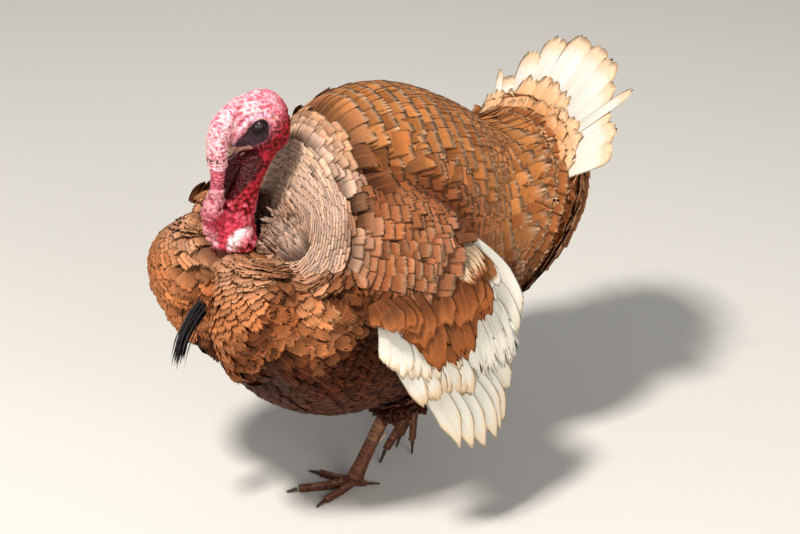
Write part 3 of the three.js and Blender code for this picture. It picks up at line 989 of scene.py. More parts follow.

# The small markings, each laid over the ones before it.
# Pink tops on the big knobs low on the neck, partly their own colour and partly painted highlight.
bead = smooth(2.0 * MM, 4.0 * MM, rise) * smooth(FACE[2] - 60 * MM, FACE[2] - 90 * MM, z) * (1 - lobe_share)
eye_gap = lengths(on_left(points) - EYE)
brow = 1 - smooth(2.0 * MM, 4.5 * MM, ridge_gap(points, laid_ridges[:1]))
lip = 1 - smooth(2.2 * MM, 4.0 * MM, side_gap(points, [(-36, -41), (-24, -34), (-12, -29)]))
ear_gap = lengths(on_left(points) - (FACE + mm(22, 20, 3)))
for marking, share in (
    (lobe_tint, lobe_share),
    (BEAD_PINK, bead * 0.7),
    # The throat's flap, darkened by painted shade.
    (THROAT_SHADE, throat_zone(points) * 0.9),
    # Slate round the eye, darkened toward the eye with painted shade.
    (mix(SLATE_SHADE_BY_EYE, SLATE, smooth(8 * MM, 24 * MM, eye_gap)), smooth(0.05, 0.9, eye_patch(points))),
    (BROW, brow * 0.75),
    (LIP, lip * (np.abs(x) > 6 * MM) * (gap > 12 * MM)),
    (EAR, (1 - smooth(3 * MM, 8 * MM, ear_gap)) * 0.8),
    (NECK_FOOT, smooth(FACE[2] - 152 * MM, FACE[2] - 160 * MM, z)),
):
    head_tint = mix(head_tint, marking, share)
tint[bare] = head_tint[bare]

# The legs, below the thighs' feathers: their reddish brown, darkened with painted shade.
on_leg = z < high("shank_right")[2] - 8 * MM
for thigh_tree in thigh_trees.values():
    on_leg &= -depth_in(thigh_tree, points) > 1.5 * MM
on_leg &= -depth_in(trunk_tree, points) > 3 * MM
stain = 0.5 + 0.5 * np.sin(z / MM * 0.9 + x / MM * 0.4)
tint[on_leg] = mix(SHANK_RED_SHADED, SHANK_TAN_SHADED, 0.25 + 0.3 * stain)[on_leg]
add_tint(skin, tint)
skin.data.materials.clear()
skin.data.materials.append(naked_skin)
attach(skin, "root")
flesh = ["head", "neck", "snood", "dewlap", "caruncles", "trunk", "rump"]
flesh += [f"{part}_{side}" for part in ("thigh", "shank", "foot") for side, _ in SIDES]
flesh += [f"wing_{side}_arm" for side, _ in SIDES]
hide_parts(*flesh)
print("bare skin over", int(bare.sum()), "points, leg skin over", int(on_leg.sum()))

# %% [markdown]
# ## Eyes and bill
# An eye is a ball with a bulge in front, so a sphere is added with its pole looking outward and the
# pole is drawn out a little. Its colours are rings round that pole: pupil, brown iris, dark rim.

# %% Eyes
PUPIL, IRIS, EYE_RIM = colour(8, 6, 6), colour(40, 21, 13), colour(16, 10, 10)
for side, sign in SIDES:
    bpy.ops.mesh.primitive_uv_sphere_add(segments=48, ring_count=32, radius=EYE_RADIUS, location=(0, 0, 0))
    eyeball = bpy.context.active_object
    eyeball.name = "eyeball_" + side
    bpy.ops.object.mode_set(mode="EDIT")
    bpy.ops.mesh.select_all(action="DESELECT")
    bpy.ops.object.mode_set(mode="OBJECT")
    for vertex in eyeball.data.vertices:
        vertex.select = vertex.co.z > 0.86 * EYE_RADIUS
    bpy.ops.object.mode_set(mode="EDIT")
    bpy.ops.transform.translate(value=(0, 0, 0.5 * MM), use_proportional_edit=True, proportional_size=4 * MM)
    bpy.ops.object.mode_set(mode="OBJECT")
    around = points_of(eyeball)
    ring = lengths(around[:, :2])
    front = around[:, 2] > 0
    rings = mix(PUPIL, IRIS, smooth(2.4 * MM, 2.8 * MM, ring))
    rings = mix(rings, EYE_RIM, smooth(4.4 * MM, 5.4 * MM, ring))
    rings[~front] = EYE_RIM
    add_tint(eyeball, rings)
    out = Vector((sign * 1.0, -0.30, 0.02)).normalized()
    turned = out.to_track_quat("Z", "Y").to_matrix().to_4x4()
    eyeball.data.transform(Matrix.Translation(Vector(mirrored(EYE, sign))) @ turned)
    eyeball.data.materials.append(eye_dark)
    bpy.ops.object.shade_smooth()
    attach(eyeball, "root")
    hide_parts("eye_" + side)
print("eyes at", mirrored(EYE, 1).round(3), mirrored(EYE, -1).round(3))

# %% [markdown]
# The bill's two halves keep the solid's shape, made fine enough to carry a ridge along the top and a
# nostril on each side.

# %% Bill
for half in ("bill_upper", "bill_lower"):
    piece = copy_of(half + "_horn", half)
    remesh(piece, 0.7 * MM, 3)
    points, normals = points_of(piece), normals_of(piece)
    share = (points[:, 1] - low(half)[1]) / (high(half)[1] - low(half)[1])
    lift = 0.5 * MM * (bell(points[:, 0], 2.2 * MM) * (normals[:, 2] > 0))
    if half == "bill_upper":
        nostril = np.array([5.5 * MM, low(half)[1] + 21 * MM, high(half)[2] - 9 * MM])
        hole = bell(lengths((on_left(points) - nostril) * [1, 0.5, 1.4]), 1.8 * MM)
        lift = lift - 1.3 * MM * hole
    else:
        hole = np.zeros(len(points))
    move_points(piece, points + normals * lift[:, None])
    bill_tint = mix(colour(206, 178, 150), colour(150, 96, 84), smooth(0.35, 0.95, share))
    # The nostril is painted dark as the shade in its opening.
    bill_tint = mix(bill_tint, colour(84, 54, 46), hole)
    add_tint(piece, bill_tint)
    piece.data.materials.append(horn)
    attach(piece, "root")
    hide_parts(half)
    print(half, len(piece.data.polygons), "faces")

# %% [markdown]
# ## One feather, many times
# A body feather is a thin vane: it leaves the skin at its root, arches over, and rests its tip on the
# feathers below. Its length follows a curve through three points, its width swells and then rounds
# off, its section is slightly cupped, and the barbs split and fray at its end.

# %% Vanes from arrays


def vane_quads(columns, rows):
    """The faces of one closed vane: a fine upper side, and two strips to a keel below it."""
    quads = []
    for r in range(rows - 1):
        a = r * columns
        quads += [(a + k, a + k + 1, a + columns + k + 1, a + columns + k) for k in range(columns - 1)]
        keel = rows * columns + r
        quads.append((a, a + columns, keel + 1, keel))
        quads.append((keel, keel + 1, a + 2 * columns - 1, a + columns - 1))
    for r in (0, rows - 1):
        keel = rows * columns + r
        for k in range(0, columns - 1, 2):
            face = (keel, r * columns + k + 2, r * columns + k + 1, r * columns + k)
            quads.append(face if r == 0 else face[::-1])
    return np.array(quads)


def vanes(root, bend, tip, side, width, rounding, fray, cup=0.10, shaft=0.0, base=0.35,
          square=2.4, pinch=0.2, columns=9, rows=7):
    """Vanes along the curves root-bend-tip, each with its width along side. Widths, rounding of the
    tip and fray are one number for each feather. base is the root's share of the width, pinch how
    much the end narrows and square how square it is. Returns points and the place along and across."""
    n = len(root)
    across = np.linspace(-1, 1, columns)
    along = np.linspace(0, 1, rows)
    c = across[None, None, :]
    torn = fray[:, None, None] * rng.random((n, 1, columns)) ** 2
    reach = 1 - rounding[:, None, None] * np.abs(c) ** square - torn
    t = along[None, :, None] * reach
    swell = base + (1 - base) * np.clip(t / 0.5, 0, 1) ** 0.8
    taper = 1 - pinch * np.clip((t - 0.75) / 0.25, 0, 1) ** 2
    half = 0.5 * width[:, None, None] * swell * taper
    first, second, third = (1 - t) ** 2, 2 * t * (1 - t), t**2
    spine = first[..., None] * root[:, None, None] + second[..., None] * bend[:, None, None]
    spine = spine + third[..., None] * tip[:, None, None]
    ahead = (1 - t)[..., None] * (bend - root)[:, None, None] + t[..., None] * (tip - bend)[:, None, None]
    ahead = unit(ahead)
    sideways = np.broadcast_to(side[:, None, None], spine.shape)
    sideways = unit(sideways - (sideways * ahead).sum(-1, keepdims=True) * ahead)
    up = np.cross(sideways, ahead)
    drop = cup * width[:, None, None] * c**2 * np.clip(t * 2, 0.3, 1)
    ridge = shaft * bell(c, 0.1) * (1 - 0.6 * t)
    top = spine + sideways * (c * half)[..., None] + up * (ridge - drop)[..., None]
    mid = columns // 2
    back = (along[None] * (1 - rounding - fray)[:, None])[..., None]
    thick = 0.028 * width[:, None, None] * (1 - 0.7 * back)
    keel = (1 - back) ** 2 * root[:, None] + 2 * back * (1 - back) * bend[:, None] + back**2 * tip[:, None]
    keel = keel - up[:, :, mid] * (thick + shaft)
    verts = np.concatenate([top.reshape(n, -1, 3), keel], axis=1)
    across_all = np.concatenate([np.tile(across, rows), np.zeros(rows)])
    along_all = np.concatenate([np.repeat(along, columns), along])
    return {"points": verts, "quads": vane_quads(columns, rows), "across": across_all, "along": along_all}


def paint(batch, base, tip=None, tip_from=0.8, rim=None, home=None, painted_root_shade=0.5):
    """Colours of a batch of vanes: base is one colour for each feather, and tip is mixed in near the
    end. rim edges each vane. home is each feather's place on the unwrapped skin, from 0 to 1, and the
    last argument how much painted shade darkens the vane toward its root, under the feathers that cover it."""
    n, per = batch["points"].shape[:2]
    base = np.broadcast_to(base, (n, 3))
    tints = np.broadcast_to(base[:, None], (n, per, 3))
    if tip is not None:
        share = smooth(tip_from, min(tip_from + 0.13, 1.0), batch["along"])
        tints = mix(tints, np.broadcast_to(tip, (n, 3))[:, None], np.broadcast_to(share, (n, per)))
    shade = 1 - painted_root_shade * (1 - smooth(0.35, 0.9, batch["along"]))
    batch["tint"] = tints * shade[None, :, None]
    rims = base * 0.8 if rim is None else np.broadcast_to(rim, (n, 3))
    batch["rim"] = np.broadcast_to(rims[:, None], (n, per, 3))
    flat = np.stack([batch["across"] * 0.5 + 0.5, batch["along"]], axis=-1)
    batch["vane"] = np.broadcast_to(flat, (n, per, 2))
    batch["bake"] = home[:, None, :] + (flat[None] - 0.5) * 0.003
    return batch


def feather_piece(name, batches, material):
    """One object from several painted batches."""
    parts = [(b["points"].reshape(-1, 3), repeated(b["quads"], *b["points"].shape[:2])) for b in batches]
    piece = quads_object(name, *stacked(parts), material)
    for label in ("tint", "rim"):
        add_tint(piece, np.concatenate([batch[label].reshape(-1, 3) for batch in batches]), label)
    corner = np.empty(len(piece.data.loops), np.int32)
    piece.data.loops.foreach_get("vertex_index", corner)
    for label, key in (("vane", "vane"), ("OFBake", "bake")):
        values = np.concatenate([batch[key].reshape(-1, 2) for batch in batches])
        layer = piece.data.uv_layers.new(name=label)
        layer.data.foreach_set("uv", values[corner].astype(np.float32).ravel())
    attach(piece, "root")
    total = sum(len(batch["quads"]) * len(batch["points"]) for batch in batches) * 2
    print(f"{name}: {sum(len(b['points']) for b in batches)} feathers, {total} triangles")
    return piece


# %% [markdown]
# ## How the feathers lie
# On a real bird the feathers grow in rows that ring the neck, spread over the body and close again at
# the tail. The same lines come from a sphere whose rings are squeezed toward two poles. Rays shot in
# from those lines find the body, which gives a net of points with a row number and a place in the row.

# %% Nets of rings over a rounded form


def squeezed_directions(front, rear, theta, phi):
    """Directions whose rings start round the pole front and close on the pole rear."""
    front, rear = unit(np.array(front, float)), unit(np.array(rear, float))
    way = front + rear
    speed = np.linalg.norm(way) / 2
    over = unit(way) if speed > 1e-3 else unit(np.cross(front, [1.0, 0.0, 0.0]))
    axis = unit(front - rear)
    side = np.cross(over, axis)
    ring = np.cos(phi)[..., None] * over + np.sin(phi)[..., None] * side
    n = np.cos(theta)[..., None] * axis + np.sin(theta)[..., None] * ring
    gamma = 1 / math.sqrt(1 - speed**2)
    rise = n @ over
    return (n + ((gamma - 1) * rise + gamma * speed)[..., None] * over) / (gamma * (1 + speed * rise))[..., None]


def calmed(net, rounds):
    """The net with each point moved toward its neighbours, round the rings and then along them."""
    for _ in range(rounds):
        net = (np.roll(net, 1, 1) + net * 2 + np.roll(net, -1, 1)) / 4
        net[1:-1] = (net[:-2] + net[1:-1] * 2 + net[2:]) / 4
    return net


def net_over(tree, centre, front, rear, first, last, rings=220, spokes=360, calming=2):
    theta = np.radians(np.linspace(first, last, rings))[:, None] * np.ones((1, spokes))
    phi = np.linspace(0, 2 * math.pi, spokes, endpoint=False)[None] * np.ones((rings, 1))
    way = squeezed_directions(front, rear, theta, phi)
    net = np.empty((rings, spokes, 3))
    for i in range(rings):
        for j in range(spokes):
            d = Vector(way[i, j])
            place = tree.ray_cast(Vector(centre) + d * 0.9, -d)[0]
            net[i, j] = place if place else centre
    net = calmed(net, 2)
    # Normals come from a net smoothed further, so that feathers in a fold still share one lean.
    calm = calmed(net, calming)
    run = np.gradient(calm, axis=0)
    turn = (np.roll(calm, -1, 1) - np.roll(calm, 1, 1)) / 2
    normal = unit(np.cross(turn, run))
    if (normal * way).sum() < 0:
        normal = -normal
    return {"net": net, "normal": normal, "rings": rings, "spokes": spokes}


def on_net(net, i, j, values):
    """A value between the net's points, at ring i and spoke j."""
    i = np.clip(i, 0, net["rings"] - 1.001)
    a, b = np.floor(i).astype(int), np.floor(j).astype(int)
    u, v = (i - a)[:, None], (j - np.floor(j))[:, None]
    b0, b1 = b % net["spokes"], (b + 1) % net["spokes"]
    near = values[a, b0] * (1 - v) + values[a, b1] * v
    far = values[a + 1, b0] * (1 - v) + values[a + 1, b1] * v
    return near * (1 - u) + far * u


def sow(net, exposure, width, crowd=0.7):
    """Ring, spoke and bare length of each feather. exposure and width are wanted sizes at each point
    of the net. Where rings lie too close for a feather, only every second, fourth and so on is used."""
    points = net["net"]
    along = np.linalg.norm(np.diff(points, axis=0, append=points[-1:] * 2 - points[-2:-1]), axis=2)
    around = np.linalg.norm(np.roll(points, -1, 1) - points, axis=2)
    step = 2.0 ** np.clip(np.round(np.log2(exposure / np.maximum(along, 1e-5))), 0, 6)
    count = np.cumsum(around / (width * crowd), axis=1)
    count *= np.maximum(np.round(count[:, -1:]), 1) / count[:, -1:]
    ring = np.arange(net["rings"])[:, None] * np.ones((1, net["spokes"]))
    row = np.floor(ring / step)
    count = count + 0.5 * (row % 2) + rng.uniform(-0.12, 0.12, (net["rings"], 1))
    new = np.floor(count) != np.floor(np.roll(count, 1, axis=1))
    new &= np.abs(ring / step - np.round(ring / step)) < 1e-6
    i, j = np.nonzero(new)
    return i.astype(float), j + rng.uniform(-0.3, 0.3, len(j)), (step * along)[i, j]


print("nets ready")

# %% [markdown]
# A feather's three points all come off the net: its root in the skin, its middle lifted part of the
# way, and its tip as high as the coat is deep. So neighbours share one lean and stack like roof tiles.

# %% Feathers on a net


def grow(net, seeds, look_up, stretch=3.1, keep=None):
    """Batches of vanes from seeds (ring, spoke, bare length). look_up gives a dict of sizes for
    places on the skin: width, lift, rounding, fray and how much the lean wanders."""
    i, j, bare_length = seeds
    root = on_net(net, i, j, net["net"])
    size = look_up(root)
    length = np.clip(bare_length, 0.75 * size["exposure"], 1.35 * size["exposure"]) * stretch
    ahead = on_net(net, i + 1.0, j, net["net"]) - root
    per_ring = np.maximum(lengths(ahead), 0.2 * MM)
    drift = rng.normal(0, 0.35, len(i)) * size["wander"]
    reach = length / per_ring
    mid = on_net(net, i + 0.5 * reach, j + drift * 2, net["net"])
    end = on_net(net, i + reach, j + drift * 4, net["net"])
    n_root = on_net(net, i, j, net["normal"])
    n_mid = unit(on_net(net, i + 0.5 * reach, j, net["normal"]))
    n_end = unit(on_net(net, i + reach, j, net["normal"]))
    way = unit(end - root)
    short = np.clip(length - lengths(end - root), 0, None)
    end = end + way * short[:, None]
    lift = size["lift"] * (1 + 0.14 * size["wander"] * rng.uniform(-1, 1, len(i)))
    lift = lift + rng.uniform(0, 0.3 * MM, len(i))
    tip = end + n_end * lift[:, None]
    middle_point = mid + way * (0.5 * short)[:, None] + n_mid * (size.get("arch", 0.72) * lift)[:, None]
    start = root - n_root * (2.0 * MM)
    bend = 2 * middle_point - 0.5 * (start + tip)
    side = unit(np.cross(way, n_mid))
    roll = 0.012 + rng.normal(0, 0.07, len(i)) * size["wander"]
    side = side * np.cos(roll)[:, None] + n_mid * np.sin(roll)[:, None]
    width = size["width"] * rng.uniform(0.88, 1.12, len(i))
    data = dict(root=start, bend=bend, tip=tip, side=side, width=width, rounding=size["rounding"])
    data.update(fray=size["fray"], place=root, i=i, j=j, middle=middle_point)
    data["home"] = np.stack([(j / net["spokes"]) % 1.0 * 0.96 + 0.02, i / net["rings"] * 0.96 + 0.02], axis=1)
    if keep is not None:
        chosen = keep(data)
        data = {key: value[chosen] for key, value in data.items()}
    return data


def body_batch(data, base, rim, columns=9, rows=7, tip=None, square=7.0, pinch=0.06):
    parts = (data[key] for key in ("root", "bend", "tip", "side", "width", "rounding", "fray"))
    batch = vanes(*parts, cup=0.007, base=0.85, square=square, pinch=pinch, columns=columns, rows=rows)
    # Painted shade darkens each vane toward its root, under the row above.
    return paint(batch, base, tip=tip, tip_from=0.84, rim=rim, home=data["home"], painted_root_shade=0.62)


def sown(net, sizes):
    """Seeds over a net, as far apart as the sizes at each of its points ask."""
    wanted = sizes(net["net"].reshape(-1, 3))
    shape = net["net"].shape[:2]
    return sow(net, wanted["exposure"].reshape(shape), wanted["width"].reshape(shape))


def not_buried(data, trees, limit):
    keep = np.ones(len(data["place"]), bool)
    for tree in trees:
        keep &= depth_in(tree, data["place"]) < limit
    return keep


print("feathers can grow")

# %% The trunk's feathers
to_front, to_rear = NECK + mm(0, -4, -2) - BODY, RUMP + mm(0, 0, 14) - BODY
trunk_net = net_over(body_tree, BODY, to_front, to_rear, 4.5, 172, calming=14)
SCAPULAR = TRUNK + mm(122, -24, 49)
SHOULDER_LINE = TRUNK + mm(0, -110, 100)


def regions(p):
    """How much each place on the trunk belongs to mantle, scapulars, breast and belly, from 0 to 1."""
    fold = on_left(p)
    from_neck = lengths((p - NECK - mm(0, 10, -10)) * [0.9, 1, 1])
    mantle = (1 - smooth(95 * MM, 150 * MM, from_neck)) * smooth(TRUNK[2] + 10 * MM, TRUNK[2] + 50 * MM, p[:, 2])
    scapular = 1 - smooth(75 * MM, 120 * MM, lengths((fold - SCAPULAR) * [0.7, 0.8, 1.1]))
    breast = smooth(0, 60 * MM, SHOULDER_LINE[1] - p[:, 1] + 0.55 * (SHOULDER_LINE[2] - 20 * MM - p[:, 2]))
    mantle = mantle * (1 - 0.45 * smooth(TRUNK[1] - 130 * MM, TRUNK[1] - 165 * MM, p[:, 1]))
    breast *= 1 - mantle
    belly = 1 - smooth(TRUNK[2] - 120 * MM, TRUNK[2] - 60 * MM, p[:, 2])
    return mantle, scapular, breast * (1 - belly), belly


def wing_top(p):
    """1 where the wing's shoulder swells out of the body, 0 elsewhere."""
    centre = middle("wing_left_arm")
    half = (high("wing_left_arm") - low("wing_left_arm")) / 2
    return 1 - smooth(0.85, 1.1, lengths((on_left(p) - centre) / half))


def cheek(p):
    """1 on the lobe between the breast and the wing, whose feathers are larger and paler."""
    return bell(lengths(on_left(p) - TRUNK - mm(158, -134, 26)), 40 * MM)


# Each size as it is on the plain back, then what the mantle, the scapulars, the breast, the belly, the
# ring round the neck, the top of the wing and the cheek add to it. The first three are millimetres.
TRUNK_SIZES = {
    "exposure": (13.5, -7.5, -2.5, -4.0, 0.5, -1.0, -2.0, 3.5),
    "width": (31, -5, -5, -10, -6, -3, -5, 5),
    "lift": (10.0, -5.5, 0.5, 1.0, 0, 0, 0, 0),
    "arch": (0.74, 0.06, -0.06, -0.08, -0.04, 0, 0, 0),
    "rounding": (0.015, 0, 0.02, 0.13, 0.12, 0, 0, 0.1),
}


def trunk_sizes(p):
    mantle, scapular, breast, belly = regions(p)
    near_neck = 1 - smooth(45 * MM, 95 * MM, lengths(p - NECK))
    top, on_cheek = wing_top(p), cheek(p)
    shares = (mantle, scapular, breast, belly, near_neck, top, on_cheek)
    size = {}
    for key, (plain, *added) in TRUNK_SIZES.items():
        unit_size = MM if key in ("exposure", "width", "lift") else 1
        size[key] = plain * unit_size + sum(more * unit_size * share for more, share in zip(added, shares))
    fray = 0.03 + 0.15 * breast + 0.13 * belly + 0.01 * scapular
    size["fray"] = fray * (1 - 0.7 * np.maximum(top, on_cheek))
    size["wander"] = 0.22 + (0.6 * breast + 0.7 * belly) * (1 - 0.7 * top) + 0.15 * scapular - 0.12 * mantle
    return size


# The line on the wing where the white coverts begin, back from the primaries' low corner and up from it.
WHITE_FROM = [-10, 2, 53, 72, 107, 132, 141, 150, 175, 215], [250, 246, 230, 238, 246, 276, 300, 330, 345, 300]
HIGHEST_TIP = 15.5 * MM


def trunk_keep(data):
    """No feathers under the rump's or in the neck, none below the line where the white coverts begin,
    and none whose tip stands far off the body."""
    out, back, up = ((on_left(data["tip"]) - low("wing_left_primaries")) / MM).T
    edge = np.interp(back, *WHITE_FROM)
    on_wing = (out > -16) & (back > -10) & (back < 215)
    keep = not_buried(data, [rump_tree], -2 * MM) & not_buried(data, [head_tree], 2 * MM)
    stands_out = np.array([body_tree.find_nearest(Vector(tip))[3] for tip in data["tip"]]) > HIGHEST_TIP
    return keep & ~(on_wing & (up < edge - 8)) & ~stands_out


trunk_data = grow(trunk_net, sown(trunk_net, trunk_sizes), trunk_sizes, keep=trunk_keep)
print(len(trunk_data["i"]), "feathers on the trunk")

# %% [markdown]
# ## Colours of the coat
# A red tom is orange-brown on the back, rosy tan round the neck, rust on the wings and chestnut below,
# where painted shade darkens the belly and flank further. Every feather takes the colour of its place, a
# little lighter or darker than its neighbours, and has a paler edge; on the breast and belly the tips
# carry a painted highlight, and painted shade darkens the coat's folds and each feather toward its root.

# %% Trunk colours and pieces
BACK_ORANGE, BACK_RUST = colour(178, 112, 60), colour(146, 80, 38)
MANTLE_TAN, MANTLE_GREY = colour(214, 178, 150), colour(192, 160, 142)
SCAPULAR_RUST, BREAST_ORANGE, WING_RUST = colour(162, 96, 58), colour(194, 120, 73), colour(158, 98, 64)
TUFT_BROWN, CHEEK_TAN = colour(122, 78, 52), colour(204, 136, 88)
# The painted shade in a crease takes more blue than red out of a colour, so that it stays warm.
CREASE_SHADE_WARMTH = np.array([0.85, 1.1, 1.35])
# The belly's chestnut is its own colour, darkened further with painted shade.
BELLY_CHESTNUT_SHADED, EDGE_TAN, EDGE_DARK = colour(68, 28, 9), colour(214, 176, 140), colour(92, 58, 42)


def varied(base, amount):
    """Each feather a little lighter or darker, and a little redder or yellower, than the last."""
    n = len(base)
    light = np.exp(rng.normal(0, amount, n))[:, None]
    warm = rng.normal(0, amount * 0.4, n)[:, None] * np.array([0.3, -0.2, -0.8])
    return np.clip(base * light * (1 + warm), 0, 1)


def painted_fold_shade(p):
    """Painted shade, darker where a fold of the coat opens."""
    lines = [TRUNK + np.array(line, float) * MM for line, _, _, _ in FOLDS]
    return 1 - 0.68 * bell(np.maximum(ridge_gap(p, lines) - COAT, 0), 12 * MM)


def painted_lobe_shadow(p):
    """1 on the flank and belly, where the shade of the breast's lobes is painted in, 0 on the lobes."""
    _, back, up = (on_left(p) - TRUNK).T
    edge = np.interp(back / MM, [-260, -215, -190, -153, -131, -91, 20], [-110, -70, -14, -42, -35, -5, 20]) * MM
    soft = np.interp(back / MM, [-150, 0, 70], [22, 40, 130]) * MM
    return smooth(0, 1, (edge - up) / soft)


def trunk_colours(data):
    p = data["place"]
    n = len(p)
    mantle, scapular, breast, belly = regions(p)
    on_cheek, top, under = cheek(p), wing_top(p), painted_lobe_shadow(p)
    # Toward the bottom the coat turns to the belly's chestnut, which carries painted shade.
    down = smooth(TRUNK[2] + 10 * MM, TRUNK[2] - 70 * MM, p[:, 2]) * (1 - breast)
    tuft = bell(lengths(on_left(p) - TRUNK - mm(38, -120, 80)), 26 * MM)
    base = mix(BACK_ORANGE, BACK_RUST, (rng.random(n) < 0.25) * 0.6)
    for place_colour, share in (
        (SCAPULAR_RUST, scapular),
        (mix(MANTLE_TAN, MANTLE_GREY, rng.random(n)), mantle),
        (BREAST_ORANGE, breast),
        (WING_RUST, top),
        (CHEEK_TAN, 0.6 * on_cheek * (1 - top)),
        (mix(TUFT_BROWN, MANTLE_GREY, rng.random(n) ** 2), tuft),
        # The belly, the bottom and the flank under the lobes: chestnut with painted shade.
        (BELLY_CHESTNUT_SHADED, np.clip(belly + 0.8 * down + under, 0, 1)),
    ):
        base = mix(base, place_colour, share)
    rim = mix(mix(EDGE_TAN, EDGE_DARK, scapular * 0.6), EDGE_DARK * 1.3, mantle * 0.7)
    rim = mix(rim, base * 1.25, np.clip(breast + belly, 0, 1))
    base = varied(base, 0.19)
    tip = mix(base, EDGE_TAN, 0.8 - 0.5 * scapular - 0.3 * mantle)
    # On the breast, belly and flank the tips carry a painted highlight, lighter than the feather.
    tip = mix(tip, base * 1.3, np.clip(breast + belly + under, 0, 1))
    tip = mix(tip, EDGE_TAN, on_cheek * 0.6 * (1 - under))
    tip = mix(tip, EDGE_TAN, 0.25 * top)
    # Painted shade in the folds of the coat, on base, rim and tip alike.
    crease_shade = painted_fold_shade(data["tip"])[:, None] ** CREASE_SHADE_WARMTH
    return base * crease_shade, rim * crease_shade, tip * crease_shade


def trunk_part(name, mask, columns=11, rows=7, square=7.0):
    part = {key: value[mask] for key, value in trunk_data.items()}
    base, rim, tip = trunk_colours(part)
    batch = body_batch(part, base, rim, columns, rows, tip, square=square)
    return feather_piece(name, [batch], body_feather)


p = trunk_data["place"]
mantle, scapular, breast, belly = regions(p)
upper = p[:, 2] > TRUNK[2] + 10 * MM
is_mantle = mantle > 0.5
is_back = upper & ~is_mantle & (np.abs(p[:, 0]) < 70 * MM)
is_side = ~is_mantle & ~is_back & (p[:, 1] > SHOULDER_LINE[1])
is_front = ~is_mantle & ~is_back & ~is_side
trunk_part("coat_mantle", is_mantle, 9, 6)
trunk_part("coat_back", is_back)
trunk_part("coat_side_left", is_side & (p[:, 0] > 0))
trunk_part("coat_side_right", is_side & (p[:, 0] <= 0))
trunk_part("coat_breast_left", is_front & (p[:, 0] > 0), 15, 6, square=2.6)
trunk_part("coat_breast_right", is_front & (p[:, 0] <= 0), 15, 6, square=2.6)

# %% [markdown]
# ## Rump and thighs
# The rump is a fan of short feathers round the tail: seen from in front its rows are rings whose tips
# point outward, and from behind they do the same from the vent. The thighs are small nets of their own.

# %% Rump colours and rows
RUMP_BROWN, RUMP_DARK, RUMP_EDGE = colour(150, 88, 46), colour(66, 28, 12), colour(206, 160, 118)
FAN_AXIS = unit(np.array([0, 0.84, -0.54]))
RUMP_CENTRE = RUMP + mm(0, -8, 0)


def rump_sizes(p):
    outer = smooth(40 * MM, 120 * MM, lengths(p - RUMP_CENTRE))
    size = {"exposure": 12 * MM - 1.0 * MM * outer, "width": 28 * MM + 6 * MM * outer}
    size["lift"] = np.full(len(p), 10.5 * MM)
    rear = smooth(35 * MM, 75 * MM, (p - RUMP_CENTRE) @ FAN_AXIS)
    size.update(rounding=0.03 + 0.15 * rear, fray=0.12 + 0.2 * rear, wander=0.4 + 0.8 * rear)
    return size


def rump_paint(data):
    p = data["place"]
    down = smooth(RUMP[2] + 40 * MM, RUMP[2] - 60 * MM, p[:, 2])
    base = mix(RUMP_BROWN, RUMP_DARK, np.clip(0.95 * down + 0.3 * (rng.random(len(p)) < 0.2), 0, 1))
    rim = mix(RUMP_EDGE, RUMP_BROWN, 0.6 * down)
    base = varied(base, 0.14)
    return body_batch(data, base, rim, tip=mix(base, RUMP_EDGE, 0.6 * (1 - 0.7 * down)))


def rump_keep(data):
    near = lengths(data["place"] - RUMP_CENTRE) < 185 * MM
    return not_buried(data, [trunk_tree], -3 * MM) & near


for name, front, rear, last in (
    ("coat_rump_front", -FAN_AXIS, FAN_AXIS, 100),
    ("coat_rump_rear", FAN_AXIS, -FAN_AXIS, 86),
):
    net = net_over(body_tree, RUMP_CENTRE, front, rear, 8, last, rings=110, spokes=300)
    data = grow(net, sown(net, rump_sizes), rump_sizes, stretch=2.6, keep=rump_keep)
    feather_piece(name, [rump_paint(data)], body_feather)

# %% Tufts beside the neck
# Here the feathers stand up toward the neck, against the lie of the mantle.


def same_sizes(p, **sizes):
    """Sizes that are the same all over a small part of the coat."""
    return {key: np.full(len(p), size) for key, size in sizes.items()}


def tuft_sizes(p):
    return same_sizes(p, exposure=6 * MM, width=9 * MM, lift=6 * MM, rounding=0.25, fray=0.45,
                      wander=1.5, arch=0.5)


def tuft_keep(data):
    return not_buried(data, [body_tree], 5 * MM)


def half_patch(batch, sign):
    """Give each side its own half of the unwrapped patch, as both sides share one piece."""
    batch["bake"] = batch["bake"] * [0.48, 1.0] + [0.5 * (sign < 0), 0]
    return batch


tuft_batches = []
for _, sign in SIDES:
    centre = TRUNK + mirrored((37, -118, 64), sign) * MM
    mound = balls_object("mound", [centre, centre + mirrored((18, 6, -14), sign) * MM], [25 * MM, 26 * MM])
    remesh(mound, 3 * MM, 2)
    origin, ragged = mirrored((0.7, 0.3, -0.7), sign), mirrored((-0.7, -0.1, 0.7), sign)
    net = net_over(tree_of(mound), centre, origin, ragged, 12, 118, rings=90, spokes=160)
    delete(mound)
    data = grow(net, sown(net, tuft_sizes), tuft_sizes, stretch=4.4, keep=tuft_keep)
    toward = np.clip(0.5 + 0.7 * ((data["place"] - centre) @ unit(ragged)) / (25 * MM), 0, 1)
    base = varied(mix(MANTLE_GREY * 0.85, TUFT_BROWN, toward * rng.uniform(0.6, 1, len(toward))), 0.2)
    batch = body_batch(data, base, base, tip=mix(base, MANTLE_TAN, 0.5), square=2.0, pinch=0.4)
    tuft_batches.append(half_patch(batch, sign))
feather_piece("coat_nape", tuft_batches, body_feather)

# %% Thighs


def thigh_sizes(p):
    return same_sizes(p, exposure=10 * MM, width=15 * MM, lift=4.5 * MM, rounding=0.2, fray=0.15, wander=1.6)


def thigh_keep(data):
    return not_buried(data, [trunk_tree], 2 * MM)


